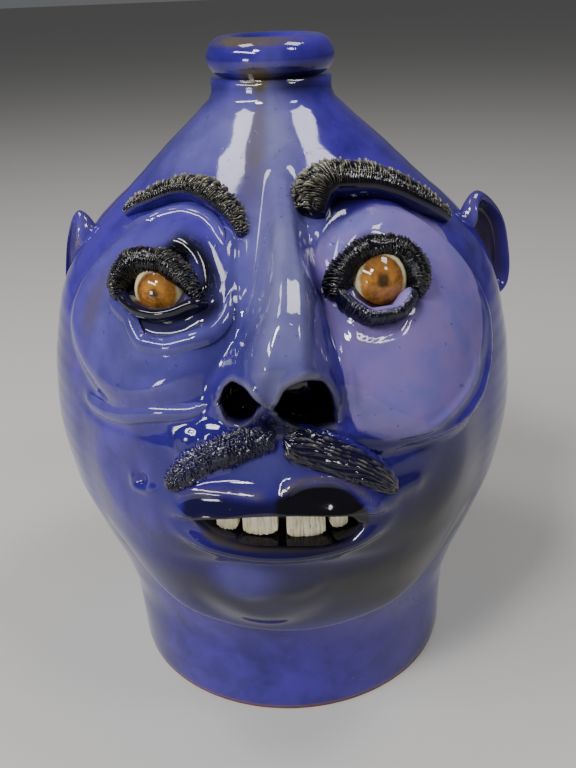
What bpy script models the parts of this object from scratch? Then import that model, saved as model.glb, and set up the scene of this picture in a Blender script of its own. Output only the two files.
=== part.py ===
"""Face jug: a thrown, hollow stoneware jug with a face built up and carved on its front.

Metres, +Z up. The origin is the centre of the flat underside, and the face looks along -Y.
The body is one fired piece. The eyes and the teeth are white clay, set into it one by one.
"""
import functools
import math

import bmesh
import bpy
from mathutils import Vector

MM = 0.001

# Driving dimensions of the thrown jug
HEIGHT = 254 * MM
FOOT_RADIUS = 69 * MM
BELLY_RADIUS = 92.3 * MM
NECK_RADIUS = 22 * MM
LIP_RADIUS = 23.3 * MM
LIP_ROLL = 7 * MM
# Angle below level where the roll starts on the neck, in degrees
LIP_START = -75
BORE_RADIUS = 15.5 * MM
WALL = 6.5 * MM
FLOOR_THICKNESS = 8 * MM
# The hollow follows the shoulder as if it were never flatter than this (radial share of normal)
FLATTEST_SHOULDER = 0.6
FOOT_EDGE = 1.2 * MM

# Set-in pieces and the clay round them
CLEARANCE = 0.3 * MM
SOCKET_SHELL = 5 * MM
EYE_RADIUS_LEFT = 9.4 * MM
EYE_RADIUS_RIGHT = 10.4 * MM
TOOTH_THICKNESS = 5 * MM
TOOTH_ROUNDING = 0.9 * MM
MOUTH_FLARE = 1.5 * MM
# A cutter that leaves the piece runs past it by this much
OVERRUN = 2 * MM

# Carving is drawn in millimetres on a jug 254 mm tall, and keeps its share of the height
FACE = HEIGHT / 254

# The wall below the belly opens by these shares of (belly - foot), at shares of the height
LOWER_WALL = ((0.0, 0.0), (0.12, 0.05), (0.2, 0.25), (0.3, 0.64), (0.375, 0.89), (0.47, 1.0))
# The wall above the belly closes by these shares of (belly - neck)
UPPER_WALL = ((0.55, 0.98), (0.6, 0.946), (0.65, 0.902), (0.7, 0.814), (0.75, 0.666),
              (0.8, 0.467), (0.85, 0.276), (0.9, 0.074), (0.925, 0.0), (0.945, 0.0))

# Fineness of the meshes
ROUND_STEPS = 150
WALL_RINGS = 110
CAVITY_STEPS = 28
CAVITY_RINGS = 18
LIP_STEPS = 12
REMESH_SHARE = 190
BODY_DECIMATE = 0.0208
SMOOTH_STEPS = 3

UP = Vector((0, 0, 1))


def clamp(value):
    return max(0.0, min(1.0, value))


def ramp(low, high, value):
    """Eased step from 0 at low to 1 at high."""
    share = clamp((value - low) / (high - low))
    return share * share * (3 - 2 * share)


@functools.lru_cache(maxsize=None)
def slopes(stations):
    """Slope at each (x, value) station: the harmonic mean of its two sides, or level at a turn."""
    sides = [(y1 - y0) / (x1 - x0) for (x0, y0), (x1, y1) in zip(stations, stations[1:])]
    inner = [2 * before * after / (before + after) if before * after > 0 else 0.0
             for before, after in zip(sides, sides[1:])]
    return [sides[0]] + inner + [sides[-1]]


def curve(stations, x):
    """Smooth curve through (x, value) stations, with no overshoot between them."""
    if x <= stations[0][0]:
        return stations[0][1]
    if x >= stations[-1][0]:
        return stations[-1][1]
    index = next(i for i, station in enumerate(stations) if x < station[0]) - 1
    (x0, y0), (x1, y1) = stations[index:index + 2]
    start, end = slopes(stations)[index:index + 2]
    share = (x - x0) / (x1 - x0)
    square = share * share
    cube = square * share
    return ((2 * cube - 3 * square + 1) * y0 + (cube - 2 * square + share) * start * (x1 - x0)
            + (3 * square - 2 * cube) * y1 + (cube - square) * end * (x1 - x0))


def wall_outline():
    """Radius stations of the thrown wall, from the foot to the underside of the lip."""
    lower = [(z * HEIGHT, FOOT_RADIUS + (BELLY_RADIUS - FOOT_RADIUS) * share)
             for z, share in LOWER_WALL]
    upper = [(z * HEIGHT, NECK_RADIUS + (BELLY_RADIUS - NECK_RADIUS) * share)
             for z, share in UPPER_WALL]
    return tuple(lower + upper)


OUTLINE = wall_outline()


def wall_radius(z):
    return curve(OUTLINE, z)


def wall_normal(z):
    """Outward direction of the wall at a height, as (radial, upward)."""
    step = 0.5 * MM
    rise = (wall_radius(z + step) - wall_radius(z - step)) / (2 * step)
    length = math.hypot(1, rise)
    return 1 / length, -rise / length


def hump(azimuth, z, centre, size, height, soft):
    """Raised oval: size is (degrees, millimetres) to the middle of its edge."""
    reach = math.hypot((azimuth - centre[0]) / size[0], (z - centre[1]) / size[1])
    if reach >= 1 + soft:
        return 0.0
    return height * (1 - ramp(1 - soft, 1 + soft, reach))


# Stations of the nose up its height in millimetres: middle line, half width, height
NOSE_LINE = ((146, -1.5), (165, 0.2), (182, 1.8), (200, 2.0))
NOSE_HALF_WIDTH = ((145, 12.5), (155, 13), (163, 11.0), (172, 8.5), (188, 7.0), (212, 6.0))
NOSE_HEIGHT = ((143, 0), (147, 4), (153, 13), (160, 21), (166, 25), (171, 24), (180, 19.5),
               (190, 13), (200, 7), (208, 3), (216, 0))
# The nose falls to the face between these shares of its half width
NOSE_FALL = (0.2, 1.2)

# Lips: middle azimuth, and the azimuths from it where their ends sink into the face
LIP_MIDDLE = -1.5
LIP_ENDS = (12, 23)
# Each lip: level, bend up to its ends, height, and breadth above and below its line
UPPER_LIP = (124.6, -0.016, 6.0, 4.2, 2.6)
LOWER_LIP = (104.5, 0.018, 3.0, 3.0, 3.0)
# The lips hang by this share of their height, and the jaw's slab by this share of its own
UPPER_LIP_HANG = 0.45
JAW_HANG = 0.3
JAW_HANG_LEVELS = (62, 95)

# Jaw: level and bend of its ledge, reach of the ledge below and above it, azimuths and levels
# where the slab of clay fades into the wall, and its height
JAW_LEVEL = 57
JAW_BEND = 0.011
JAW_LEDGE = (-8, 9)
JAW_SIDES = (22, 54)
JAW_FADE = (130, 195)
JAW_HEIGHT = 9.5


def nose(azimuth, z):
    reach = abs(azimuth - curve(NOSE_LINE, z)) / curve(NOSE_HALF_WIDTH, z)
    return curve(NOSE_HEIGHT, z) * (1 - ramp(*NOSE_FALL, reach))


def lip(azimuth, z, level, bend, height, above, below):
    """Height of one lip roll that curves along its line and sinks in at both ends."""
    aside = azimuth - LIP_MIDDLE
    line = level + bend * aside ** 2
    breadth = above if z > line else below
    return height * math.exp(-((z - line) / breadth) ** 2) * (1 - ramp(*LIP_ENDS, abs(aside)))


def jaw(azimuth, z):
    """Height of the slab of clay that makes the lower face, ending in a jaw ledge."""
    line = JAW_LEVEL + JAW_BEND * azimuth ** 2
    rise = ramp(line + JAW_LEDGE[0], line + JAW_LEDGE[1], z)
    side = 1 - ramp(*JAW_SIDES, abs(azimuth))
    return JAW_HEIGHT * rise * side * (1 - ramp(*JAW_FADE, z))


# Forms laid on the wall: middle (degrees, millimetres), half size, height and softness of edge
EYE_MOUNDS = (((33, 167.5), (21.5, 33), 6.0, 0.15), ((-35, 174.5), (22.5, 26.5), 5.0, 0.22))
MOUTH_MOUND = ((-2, 115), (22, 17), 2.5, 0.5)
CHIN = (((-6, 83), (10, 10), 3.5, 0.6), ((-8, 93), (4.5, 5), 1.2, 0.6),
        ((1.8, 92.5), (4.5, 5), 1.2, 0.6))
NOSE_BUMP = ((-11.6, 142.5), (2.8, 3.4), 1.8, 0.6)
LIP_HOLLOWS = (((-2, 96), (15, 4), -1.5, 0.8), ((28, 124), (8, 13), -2.5, 0.7),
               ((-32, 124), (8, 13), -2.0, 0.7))
HUMPS = (*EYE_MOUNDS, MOUTH_MOUND, *CHIN, NOSE_BUMP, *LIP_HOLLOWS)


def relief(azimuth, z):
    """Height of the face above the thrown wall, and its drop down the wall, in millimetres.

    The azimuth is in degrees from the front, to +X, and z in millimetres on a 254 mm jug.
    """
    upper_lip = lip(azimuth, z, *UPPER_LIP)
    slab = jaw(azimuth, z)
    height = slab + nose(azimuth, z) + upper_lip + lip(azimuth, z, *LOWER_LIP)
    height += sum(hump(azimuth, z, *form) for form in HUMPS)
    drop = UPPER_LIP_HANG * upper_lip + JAW_HANG * slab * (1 - ramp(*JAW_HANG_LEVELS, z))
    return height, drop


def skin(azimuth, z, lift=0.0):
    """Point on the finished face, z in face millimetres, with a lift along the wall's normal."""
    height, drop = relief(azimuth, z)
    level = z * FACE
    out, up = wall_normal(level)
    raised = (height + lift) * FACE
    radius = wall_radius(level) + raised * out
    angle = math.radians(azimuth)
    return Vector((radius * math.sin(angle), -radius * math.cos(angle),
                   level + raised * up - drop * FACE))


def skin_normal(azimuth, z):
    """Outward direction of the thrown wall under a point of the face."""
    out, up = wall_normal(z * FACE)
    angle = math.radians(azimuth)
    return Vector((out * math.sin(angle), -out * math.cos(angle), up))


@functools.lru_cache(maxsize=None)
def numbered(stations, column):
    """Curve of one column of the stations over their numbers."""
    return tuple((index, station[column]) for index, station in enumerate(stations))


def path_point(stations, share):
    """Azimuth and height at a share of the way through (azimuth, z) stations."""
    x = share * (len(stations) - 1)
    return curve(numbered(stations, 0), x), curve(numbered(stations, 1), x)


def loft(mesh, rings):
    """Adds a closed skin through rings of points, all with the same count, to a bmesh."""
    first = [mesh.verts.new(point) for point in rings[0]]
    edges = [mesh.edges.new((first[index], first[(index + 1) % len(first)]))
             for index in range(len(first))]
    start = edges
    faces = []
    for ring in rings[1:]:
        made = bmesh.ops.extrude_edge_only(mesh, edges=edges)["geom"]
        faces += [item for item in made if isinstance(item, bmesh.types.BMFace)]
        # Each old vertex leads to its copy along the side edge between them
        fresh = {item for item in made if isinstance(item, bmesh.types.BMVert)}
        moved = []
        for vertex in first:
            for edge in vertex.link_edges:
                other = edge.other_vert(vertex)
                if other in fresh:
                    moved.append(other)
                    break
        for vertex, point in zip(moved, ring):
            vertex.co = point
        first = moved
        edges = [mesh.edges.get((first[index], first[(index + 1) % len(first)]))
                 for index in range(len(first))]
    faces += bmesh.ops.edgeloop_fill(mesh, edges=start)["faces"]
    faces += bmesh.ops.edgeloop_fill(mesh, edges=edges)["faces"]
    bmesh.ops.recalc_face_normals(mesh, faces=faces)


def coil(mesh, stations, half_width, proud, lift=0.0, lean=0.0, steps=28, sides=14):
    """Adds a rolled coil that follows the face through (azimuth, z) stations.

    half_width and proud are curves of (share, millimetres) along it: half its breadth on the
    face, and half its height off the face. lean tips it down the face, in degrees.
    """
    rings = []
    for index in range(steps + 1):
        share = index / steps
        before = path_point(stations, max(0.0, share - 0.01))
        after = path_point(stations, min(1.0, share + 0.01))
        azimuth, z = path_point(stations, share)
        middle = skin(azimuth, z, lift)
        along = (skin(*after, lift) - skin(*before, lift)).normalized()
        outward = skin_normal(azimuth, z)
        outward = (outward - along * outward.dot(along)).normalized()
        across = outward.cross(along)
        if across.z < 0:
            across = -across
        tip = math.radians(lean)
        high = outward * math.cos(tip) - across * math.sin(tip)
        wide = across * math.cos(tip) + outward * math.sin(tip)
        width = curve(half_width, share) * FACE
        height = curve(proud, share) * FACE
        ring = []
        for side in range(sides):
            turn = math.tau * side / sides
            ring.append(middle + wide * width * math.cos(turn) + high * height * math.sin(turn))
        rings.append(ring)
    loft(mesh, rings)


# Coils pressed on the face: their stations as (azimuth in degrees, height in millimetres)
BROW_RIGHT = ((11.5, 201), (14, 207), (22, 209.5), (35, 208), (47, 203.5), (56, 197), (62, 191.5))
BROW_LEFT = ((-10.5, 197), (-13.5, 201), (-18.5, 204.5), (-25, 207), (-32, 208.2), (-40, 207.3),
             (-48, 204.5), (-55, 201.5), (-61, 198))
LASH_RIGHT = ((11.5, 178.8), (13.7, 184.3), (17.4, 188), (21.5, 189.5), (26.5, 189),
              (30.2, 186.5), (31.1, 182.5), (30.3, 179), (28.9, 176.3))
LASH_LEFT = ((-36.5, 176.2), (-38, 181.5), (-37.5, 185.8), (-33.5, 187.6), (-28, 187.2),
             (-23.6, 184.8), (-20.2, 181.6), (-17.4, 178.4))
LID_RIGHT = ((12.6, 180), (14.2, 176.2), (18, 173), (22.5, 172.8), (27.2, 175), (30, 178))
LID_LEFT = ((-36.5, 178.5), (-32.5, 176), (-29, 174.7), (-25.5, 174.4), (-22, 175.3),
            (-18.5, 177.4), (-15, 178.8))
WING_RIGHT = ((-0.5, 142.6), (2.9, 140.2), (6.2, 137.6), (10.2, 133.9), (13.5, 130.5), (17, 126),
              (20.4, 120.5))
WING_LEFT = ((-2, 145.2), (-4.8, 143), (-7.9, 141), (-11.5, 138.6), (-15, 135.2), (-18.1, 131),
             (-20.4, 127.4), (-22, 124))

# Half breadth on the face and half height off it, in face millimetres, along each coil
BROW_RIGHT_BREADTH = ((0, 4.5), (0.12, 6.5), (0.35, 6.2), (0.7, 5.2), (1, 1.8))
BROW_RIGHT_HEIGHT = ((0, 3), (0.15, 6.5), (0.5, 7), (0.85, 5), (1, 1.5))
BROW_LEFT_BREADTH = ((0, 1.5), (0.15, 3.2), (0.4, 4.2), (0.7, 3.8), (1, 1.5))
BROW_LEFT_HEIGHT = ((0, 1.5), (0.2, 4.5), (0.5, 6), (0.85, 4.5), (1, 1.5))
LASH_RIGHT_BREADTH = ((0, 2), (0.12, 4.4), (0.3, 3.5), (0.45, 3.4), (0.68, 4.6), (0.85, 3.8),
                      (1, 1.6))
LASH_LEFT_BREADTH = ((0, 1.4), (0.15, 3.4), (0.35, 4.8), (0.6, 4.6), (0.85, 2.8), (1, 1.2))
LASH_HEIGHT = ((0, 2.8), (0.12, 5.6), (0.85, 5.6), (1, 2.2))
LID_BREADTH = ((0, 1.1), (0.12, 2.2), (0.85, 2.2), (1, 0.9))
LID_HEIGHT = ((0, 2), (0.12, 4), (0.85, 4), (1, 1.6))
WING_RIGHT_BREADTH = ((0, 4.4), (0.2, 5.3), (0.45, 5.5), (0.75, 4.4), (1, 1.2))
WING_LEFT_BREADTH = ((0, 4.2), (0.25, 4.7), (0.6, 4.3), (0.85, 2.9), (1, 1))
WING_HEIGHT = ((0, 2.8), (0.3, 3.6), (0.7, 3.3), (1, 1.2))
BROW_RIGHT_LEAN = 28
BROW_LEFT_LEAN = 24
LASH_LEFT_LEAN = 12

BROW_RIGHT_LIFT = 1.5
BROW_LEFT_LIFT = 1.0
LASH_LIFT = 1.4
LID_LIFT = 1.2

# Each coil: stations, breadth, height, lift off the face, and lean down the face in degrees
COILS = ((BROW_RIGHT, BROW_RIGHT_BREADTH, BROW_RIGHT_HEIGHT, BROW_RIGHT_LIFT, BROW_RIGHT_LEAN),
         (BROW_LEFT, BROW_LEFT_BREADTH, BROW_LEFT_HEIGHT, BROW_LEFT_LIFT, BROW_LEFT_LEAN),
         (LASH_RIGHT, LASH_RIGHT_BREADTH, LASH_HEIGHT, LASH_LIFT, 0),
         (LASH_LEFT, LASH_LEFT_BREADTH, LASH_HEIGHT, LASH_LIFT, LASH_LEFT_LEAN),
         (LID_RIGHT, LID_BREADTH, LID_HEIGHT, LID_LIFT, 0),
         (LID_LEFT, LID_BREADTH, LID_HEIGHT, LID_LIFT, 0),
         (WING_RIGHT, WING_RIGHT_BREADTH, WING_HEIGHT, 0, 0),
         (WING_LEFT, WING_LEFT_BREADTH, WING_HEIGHT, 0, 0))

# Ears, in face millimetres: side, reach outward and inward from the line between their ends,
# and the height and lift of the lower and the upper end
EAR_RIGHT = (1, 10.5, 15, (154, 0), (187, 8))
EAR_LEFT = (-1, 4, 12, (161, -4), (187, 6))
EAR_TIP = 2
EAR_THICKNESS = 6.5
EAR_HOLLOW = 8.5
EAR_FORWARD_TURN = 0.6
# The hollow of the ear deepens between these shares of the way out to its rim
EAR_BOWL = (0.35, 0.85)


def add_ear(mesh, side, outward_reach, inward_reach, low, high):
    """Cupped ear pressed on the side of the head, open to the front."""
    foot = skin(90 * side, *low)
    top = skin(90 * side, *high)
    middle = (foot + top) / 2
    upward = (top - foot).normalized()
    half_height = (top - foot).length / 2 + EAR_TIP * FACE
    forward = Vector((EAR_FORWARD_TURN * side, -1, 0)).normalized()
    outward = forward.cross(upward) * -side
    made = bmesh.ops.create_uvsphere(mesh, u_segments=32, v_segments=20, radius=1)["verts"]
    for vertex in made:
        across, along, depth = vertex.co
        reach = outward_reach if across > 0 else inward_reach
        thickness = EAR_THICKNESS * depth
        if depth > 0:
            thickness -= EAR_HOLLOW * (1 - ramp(*EAR_BOWL, math.hypot(across, along)))
        vertex.co = (middle + outward * (across * reach * FACE) + upward * (along * half_height)
                     + forward * (thickness * FACE))
    bmesh.ops.recalc_face_normals(mesh, faces=list({f for v in made for f in v.link_faces}))


def lip_profile():
    """Points of the rolled lip, from its underside over the top to the bore."""
    centre_radius = LIP_RADIUS - LIP_ROLL
    centre_z = HEIGHT - LIP_ROLL
    points = []
    for step in range(LIP_STEPS + 1):
        turn = math.radians(LIP_START + (90 - LIP_START) * step / LIP_STEPS)
        points.append((centre_radius + LIP_ROLL * math.cos(turn),
                       centre_z + LIP_ROLL * math.sin(turn)))
    return points


def body_profile():
    """Outer half section of the solid jug, from the axis at the foot to the axis at the top."""
    points = [(0, -FOOT_EDGE), (FOOT_RADIUS, -FOOT_EDGE)]
    top = OUTLINE[-1][0]
    for ring in range(WALL_RINGS + 1):
        z = top * ring / WALL_RINGS
        points.append((wall_radius(z), z))
    points += lip_profile()
    points.append((0, HEIGHT))
    return points


def spin_profile(mesh, points, steps):
    """Turns an (radius, z) outline once round the axis and closes its seam and poles."""
    verts = [mesh.verts.new((0, -radius, z)) for radius, z in points]
    edges = [mesh.edges.new(pair) for pair in zip(verts, verts[1:])]
    bmesh.ops.spin(mesh, geom=verts + edges, cent=(0, 0, 0), axis=(0, 0, 1), angle=math.tau,
                   steps=steps, use_merge=True)
    bmesh.ops.remove_doubles(mesh, verts=mesh.verts, dist=0.01 * MM)
    bmesh.ops.recalc_face_normals(mesh, faces=mesh.faces)


def shape_head(mesh):
    """Moves the turned wall out to the face that was built on it."""
    top = OUTLINE[-1][0]
    for vertex in mesh.verts:
        x, y, z = vertex.co
        radius = math.hypot(x, y)
        if 0 < z < top and abs(radius - wall_radius(z)) < 0.05 * MM:
            vertex.co = skin(math.degrees(math.atan2(x, -y)), z / FACE)


def material(name, colour, roughness, metallic=0.0):
    made = bpy.data.materials.new(name)
    made.use_nodes = True
    shader = made.node_tree.nodes["Principled BSDF"]
    shader.inputs["Base Color"].default_value = (*colour, 1)
    shader.inputs["Roughness"].default_value = roughness
    shader.inputs["Metallic"].default_value = metallic
    return made


def new_object(name, mesh, finish=None, cutter=False):
    """Makes an object of a bmesh. A cutter only shapes another piece."""
    data = bpy.data.meshes.new(name)
    mesh.to_mesh(data)
    mesh.free()
    made = bpy.data.objects.new(name, data)
    bpy.context.scene.collection.objects.link(made)
    if finish:
        data.materials.append(finish)
    data.shade_smooth()
    if cutter:
        made.hide_render = True
        made.display_type = "WIRE"
    return made


def eye_centre(eye):
    """Middle of an eyeball, sunk so that its front stands a little out of the face."""
    azimuth, z, radius, proud = eye
    return skin(azimuth, z) + skin_normal(azimuth, z) * (proud - radius)


# Eyes: azimuth, height, ball radius, and how far the ball's front stands out of the mound
EYE_PROUD_LEFT = 4.2 * FACE
EYE_PROUD_RIGHT = 5.0 * FACE
EYE_LEFT = (-29, 182.2, EYE_RADIUS_LEFT, EYE_PROUD_LEFT)
EYE_RIGHT = (23.8, 183.3, EYE_RADIUS_RIGHT, EYE_PROUD_RIGHT)
EYES = {"eye_left": EYE_LEFT, "eye_right": EYE_RIGHT}
# Half size of the almond between the lids
OPENING_LEFT = (7.6, 5.0)
OPENING_RIGHT = (7.8, 7.0)
OPENING_DEPTH = 9

# Nostrils: azimuth, height, half width and half height
NOSTRILS = {"nostril_left": (-7.1, 153.4, 6.2, 6.8), "nostril_right": (4.0, 152.8, 9.0, 8.4)}
NOSTRIL_DEPTH = 8
NOSTRIL_SLOPE = -0.35

# Mouth: a lens between the lips, with its half height and its depth along it
MOUTH_LINE = ((-17.5, 116.3), (-12, 116), (-4, 115.2), (5, 114.2), (12.5, 112))
MOUTH_HALF_HEIGHT = ((0, 0.8), (0.2, 4.8), (0.45, 6.6), (0.75, 6.0), (1, 0.8))
MOUTH_DEPTH = ((0, 7), (0.15, 11), (0.85, 11), (1, 7))

# Teeth, left to right, in face millimetres: gap before it, width, lower edge and height
TEETH = {"tooth_1": (0, 7.6, 110.0, 15), "tooth_2": (0.6, 12.4, 108.5, 16.5),
         "tooth_3": (1.6, 13.8, 107.0, 18), "tooth_4": (0.6, 6.2, 109.5, 14.5)}
TOOTH_ROW_START = -23.6
TOOTH_LEVEL = 114
TOOTH_SETBACK = 6.0
TOOTH_TAPER = 0.04


def tooth_places():
    """Azimuth of each tooth, laid side by side round the gum from the row's left end."""
    gum_radius = -skin(0, TOOTH_LEVEL, -TOOTH_SETBACK).y
    places = {}
    end = TOOTH_ROW_START
    for name, (gap, width, low, height) in TEETH.items():
        middle = end + gap + width / 2
        end += gap + width
        places[name] = math.degrees(middle * FACE / gum_radius)
    return places


def cavity_profile():
    """Half section of the hollow: floor, wall at true thickness, shoulder, bore and mouth."""
    top = HEIGHT - 2 * LIP_ROLL
    points = [(0, FLOOR_THICKNESS)]
    for ring in range(CAVITY_RINGS + 1):
        z = FLOOR_THICKNESS + (top - FLOOR_THICKNESS) * ring / CAVITY_RINGS
        # The wall is measured square to itself, and less so on the flattest part of the shoulder
        out = max(wall_normal(z)[0], FLATTEST_SHOULDER)
        points.append((max(BORE_RADIUS, wall_radius(z) - WALL / out), z))
    flare = BORE_RADIUS + MOUTH_FLARE
    points += [(BORE_RADIUS, HEIGHT - LIP_ROLL), (flare, HEIGHT),
               (flare + OVERRUN, HEIGHT + OVERRUN), (0, HEIGHT + OVERRUN)]
    return points


def hollow():
    """Cutter for the inside, held back where clay backs the eyeballs."""
    mesh = bmesh.new()
    spin_profile(mesh, cavity_profile(), CAVITY_STEPS)
    for vertex in mesh.verts:
        for eye in EYES.values():
            keep_back(vertex, eye_centre(eye), eye[2] + CLEARANCE + SOCKET_SHELL)
    return new_object("hollow", mesh, cutter=True)


def keep_back(vertex, centre, distance):
    """Draws a vertex of the hollow toward the axis, out of a ball round an eye."""
    flat = Vector((vertex.co.x, vertex.co.y, 0))
    away = vertex.co - centre
    if flat.length < 1e-6 or away.length >= distance:
        return
    axis = flat.normalized()
    along = away.dot(axis)
    inside = max(0.0, distance ** 2 - (away.length ** 2 - along ** 2))
    vertex.co -= axis * (along + math.sqrt(inside))


def socket(name, eye):
    """Cutter for the round seat of an eyeball, and the opening in front of it."""
    mesh = bmesh.new()
    made = bmesh.ops.create_uvsphere(mesh, u_segments=18, v_segments=10,
                                     radius=eye[2] + CLEARANCE)["verts"]
    bmesh.ops.translate(mesh, verts=made, vec=eye_centre(eye))
    return new_object(name + "_socket", mesh, cutter=True)


def opening(name, eye, half_size):
    """Cutter for the almond between the lids."""
    mesh = bmesh.new()
    half_width, half_height = half_size
    azimuth, z = eye[0], eye[1]
    made = bmesh.ops.create_uvsphere(mesh, u_segments=20, v_segments=12, radius=1)["verts"]
    outward = skin_normal(azimuth, z)
    across = UP.cross(outward).normalized()
    high = outward.cross(across)
    middle = skin(azimuth, z) + outward * eye[3]
    for vertex in made:
        a, b, c = vertex.co
        vertex.co = (middle + across * (a * half_width * FACE) + high * (b * half_height * FACE)
                     + outward * (c * OPENING_DEPTH * FACE))
    return new_object(name + "_opening", mesh, cutter=True)


def mouth_pocket():
    mesh = bmesh.new()
    coil(mesh, MOUTH_LINE, MOUTH_HALF_HEIGHT, MOUTH_DEPTH, lift=-1, steps=16, sides=12)
    return new_object("mouth_pocket", mesh, cutter=True)


def nostril(name, azimuth, z, half_width, half_height):
    mesh = bmesh.new()
    made = bmesh.ops.create_uvsphere(mesh, u_segments=18, v_segments=10, radius=1)["verts"]
    middle = skin(azimuth, z, -1)
    angle = math.radians(azimuth)
    across = Vector((math.cos(angle), math.sin(angle), 0))
    outward = Vector((math.sin(angle), -math.cos(angle), NOSTRIL_SLOPE)).normalized()
    high = outward.cross(across)
    for vertex in made:
        a, b, c = vertex.co
        vertex.co = (middle + across * (a * half_width * FACE) + high * (b * half_height * FACE)
                     + outward * (c * NOSTRIL_DEPTH * FACE))
    return new_object(name, mesh, cutter=True)


def tooth(name, azimuth, spec, clearance, finish=None):
    """Rounded block hanging from the upper gum. With a clearance it cuts its own seat."""
    gap, width, low, height = spec
    mesh = bmesh.new()
    made = bmesh.ops.create_cube(mesh, size=1)["verts"]
    angle = math.radians(azimuth)
    across = Vector((math.cos(angle), math.sin(angle), 0))
    inward = Vector((-math.sin(angle), math.cos(angle), 0))
    middle = skin(azimuth, TOOTH_LEVEL, -TOOTH_SETBACK)
    middle.z = (low + height / 2) * FACE
    half = Vector((width * FACE / 2, TOOTH_THICKNESS / 2, height * FACE / 2))
    half += Vector((clearance, clearance, clearance))
    for vertex in made:
        a, b, c = vertex.co * 2
        narrow = 1 - TOOTH_TAPER * c
        vertex.co = (middle + across * (a * half.x * narrow) + inward * (b * half.y)
                     + UP * (c * half.z))
    rounding = TOOTH_ROUNDING + clearance
    bmesh.ops.bevel(mesh, geom=mesh.edges[:], offset=rounding, segments=2, profile=0.5,
                    affect="EDGES", material=-1)
    bmesh.ops.recalc_face_normals(mesh, faces=mesh.faces)
    return new_object(name, mesh, finish, cutter=clearance > 0)


def ground_cutter():
    """Cutter that leaves the underside flat."""
    mesh = bmesh.new()
    made = bmesh.ops.create_cube(mesh, size=4 * FOOT_RADIUS)["verts"]
    bmesh.ops.translate(mesh, verts=made, vec=(0, 0, -2 * FOOT_RADIUS))
    return new_object("ground", mesh, cutter=True)


def cut(piece, cutter):
    step = piece.modifiers.new(cutter.name, "BOOLEAN")
    step.operation = "DIFFERENCE"
    step.solver = "EXACT"
    step.object = cutter


def build_body(glaze):
    """The fired jug: wall, face and ears in one, then hollowed and cut."""
    mesh = bmesh.new()
    spin_profile(mesh, body_profile(), ROUND_STEPS)
    shape_head(mesh)
    for stations, breadth, height, lift, lean in COILS:
        coil(mesh, stations, breadth, height, lift, lean)
    add_ear(mesh, *EAR_RIGHT)
    add_ear(mesh, *EAR_LEFT)
    body = new_object("jug_body", mesh, glaze)
    fuse = body.modifiers.new("fuse", "REMESH")
    fuse.mode = "VOXEL"
    fuse.voxel_size = HEIGHT / REMESH_SHARE
    fuse.use_smooth_shade = True
    ease = body.modifiers.new("ease", "SMOOTH")
    ease.factor = 0.5
    ease.iterations = SMOOTH_STEPS
    thin = body.modifiers.new("thin", "DECIMATE")
    thin.ratio = BODY_DECIMATE
    cut(body, ground_cutter())
    cut(body, hollow())
    cut(body, mouth_pocket())
    for name, spec in NOSTRILS.items():
        cut(body, nostril(name, *spec))
    for name, eye in EYES.items():
        cut(body, socket(name, eye))
    cut(body, opening("eye_left", EYE_LEFT, OPENING_LEFT))
    cut(body, opening("eye_right", EYE_RIGHT, OPENING_RIGHT))
    for name, azimuth in tooth_places().items():
        cut(body, tooth(name + "_seat", azimuth, TEETH[name], CLEARANCE))
    return body


def build_eye(name, eye, finish):
    mesh = bmesh.new()
    made = bmesh.ops.create_uvsphere(mesh, u_segments=18, v_segments=11, radius=eye[2])["verts"]
    bmesh.ops.translate(mesh, verts=made, vec=eye_centre(eye))
    return new_object(name, mesh, finish)


def main():
    for item in list(bpy.data.objects):
        bpy.data.objects.remove(item)
    glaze = material("cobalt_glaze", (0.045, 0.04, 0.33), 0.12)
    porcelain = material("eye_clay", (0.62, 0.33, 0.1), 0.1)
    bisque = material("tooth_clay", (0.78, 0.72, 0.52), 0.55)
    build_body(glaze)
    for name, eye in EYES.items():
        build_eye(name, eye, porcelain)
    for name, azimuth in tooth_places().items():
        tooth(name, azimuth, TEETH[name], 0.0, bisque)


main()
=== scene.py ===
"""Looks of the face jug: cobalt glaze, hatched brows and moustache, set-in eyes and teeth.

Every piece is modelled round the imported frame, in metres, with its place in its mesh.
"""
import logging
import math
from collections.abc import Callable
from dataclasses import dataclass
from enum import Enum

import bmesh
import bpy
import numpy as np
from mathutils import Matrix, Vector, noise


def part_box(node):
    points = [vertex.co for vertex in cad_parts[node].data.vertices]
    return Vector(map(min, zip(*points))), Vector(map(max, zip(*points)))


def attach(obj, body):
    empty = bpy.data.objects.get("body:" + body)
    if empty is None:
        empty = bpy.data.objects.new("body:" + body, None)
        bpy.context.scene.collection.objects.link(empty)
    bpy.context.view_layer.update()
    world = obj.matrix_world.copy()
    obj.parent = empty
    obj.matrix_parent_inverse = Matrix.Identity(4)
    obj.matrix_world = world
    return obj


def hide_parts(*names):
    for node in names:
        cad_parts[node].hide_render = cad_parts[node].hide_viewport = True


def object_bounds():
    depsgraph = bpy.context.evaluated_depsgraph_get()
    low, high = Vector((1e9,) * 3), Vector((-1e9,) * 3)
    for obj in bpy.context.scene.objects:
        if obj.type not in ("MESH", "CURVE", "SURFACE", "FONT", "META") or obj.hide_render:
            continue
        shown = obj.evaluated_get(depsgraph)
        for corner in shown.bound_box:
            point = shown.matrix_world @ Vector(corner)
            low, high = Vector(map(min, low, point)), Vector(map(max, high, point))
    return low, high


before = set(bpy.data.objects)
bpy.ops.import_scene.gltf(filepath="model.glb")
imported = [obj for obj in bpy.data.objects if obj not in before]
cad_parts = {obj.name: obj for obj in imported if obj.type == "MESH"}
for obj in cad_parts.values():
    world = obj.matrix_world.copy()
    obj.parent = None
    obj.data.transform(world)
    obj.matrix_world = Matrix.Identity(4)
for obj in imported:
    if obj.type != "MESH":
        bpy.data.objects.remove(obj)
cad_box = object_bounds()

LOG = logging.getLogger("face_jug")
MM = 0.001
ROOT = "root"

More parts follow.
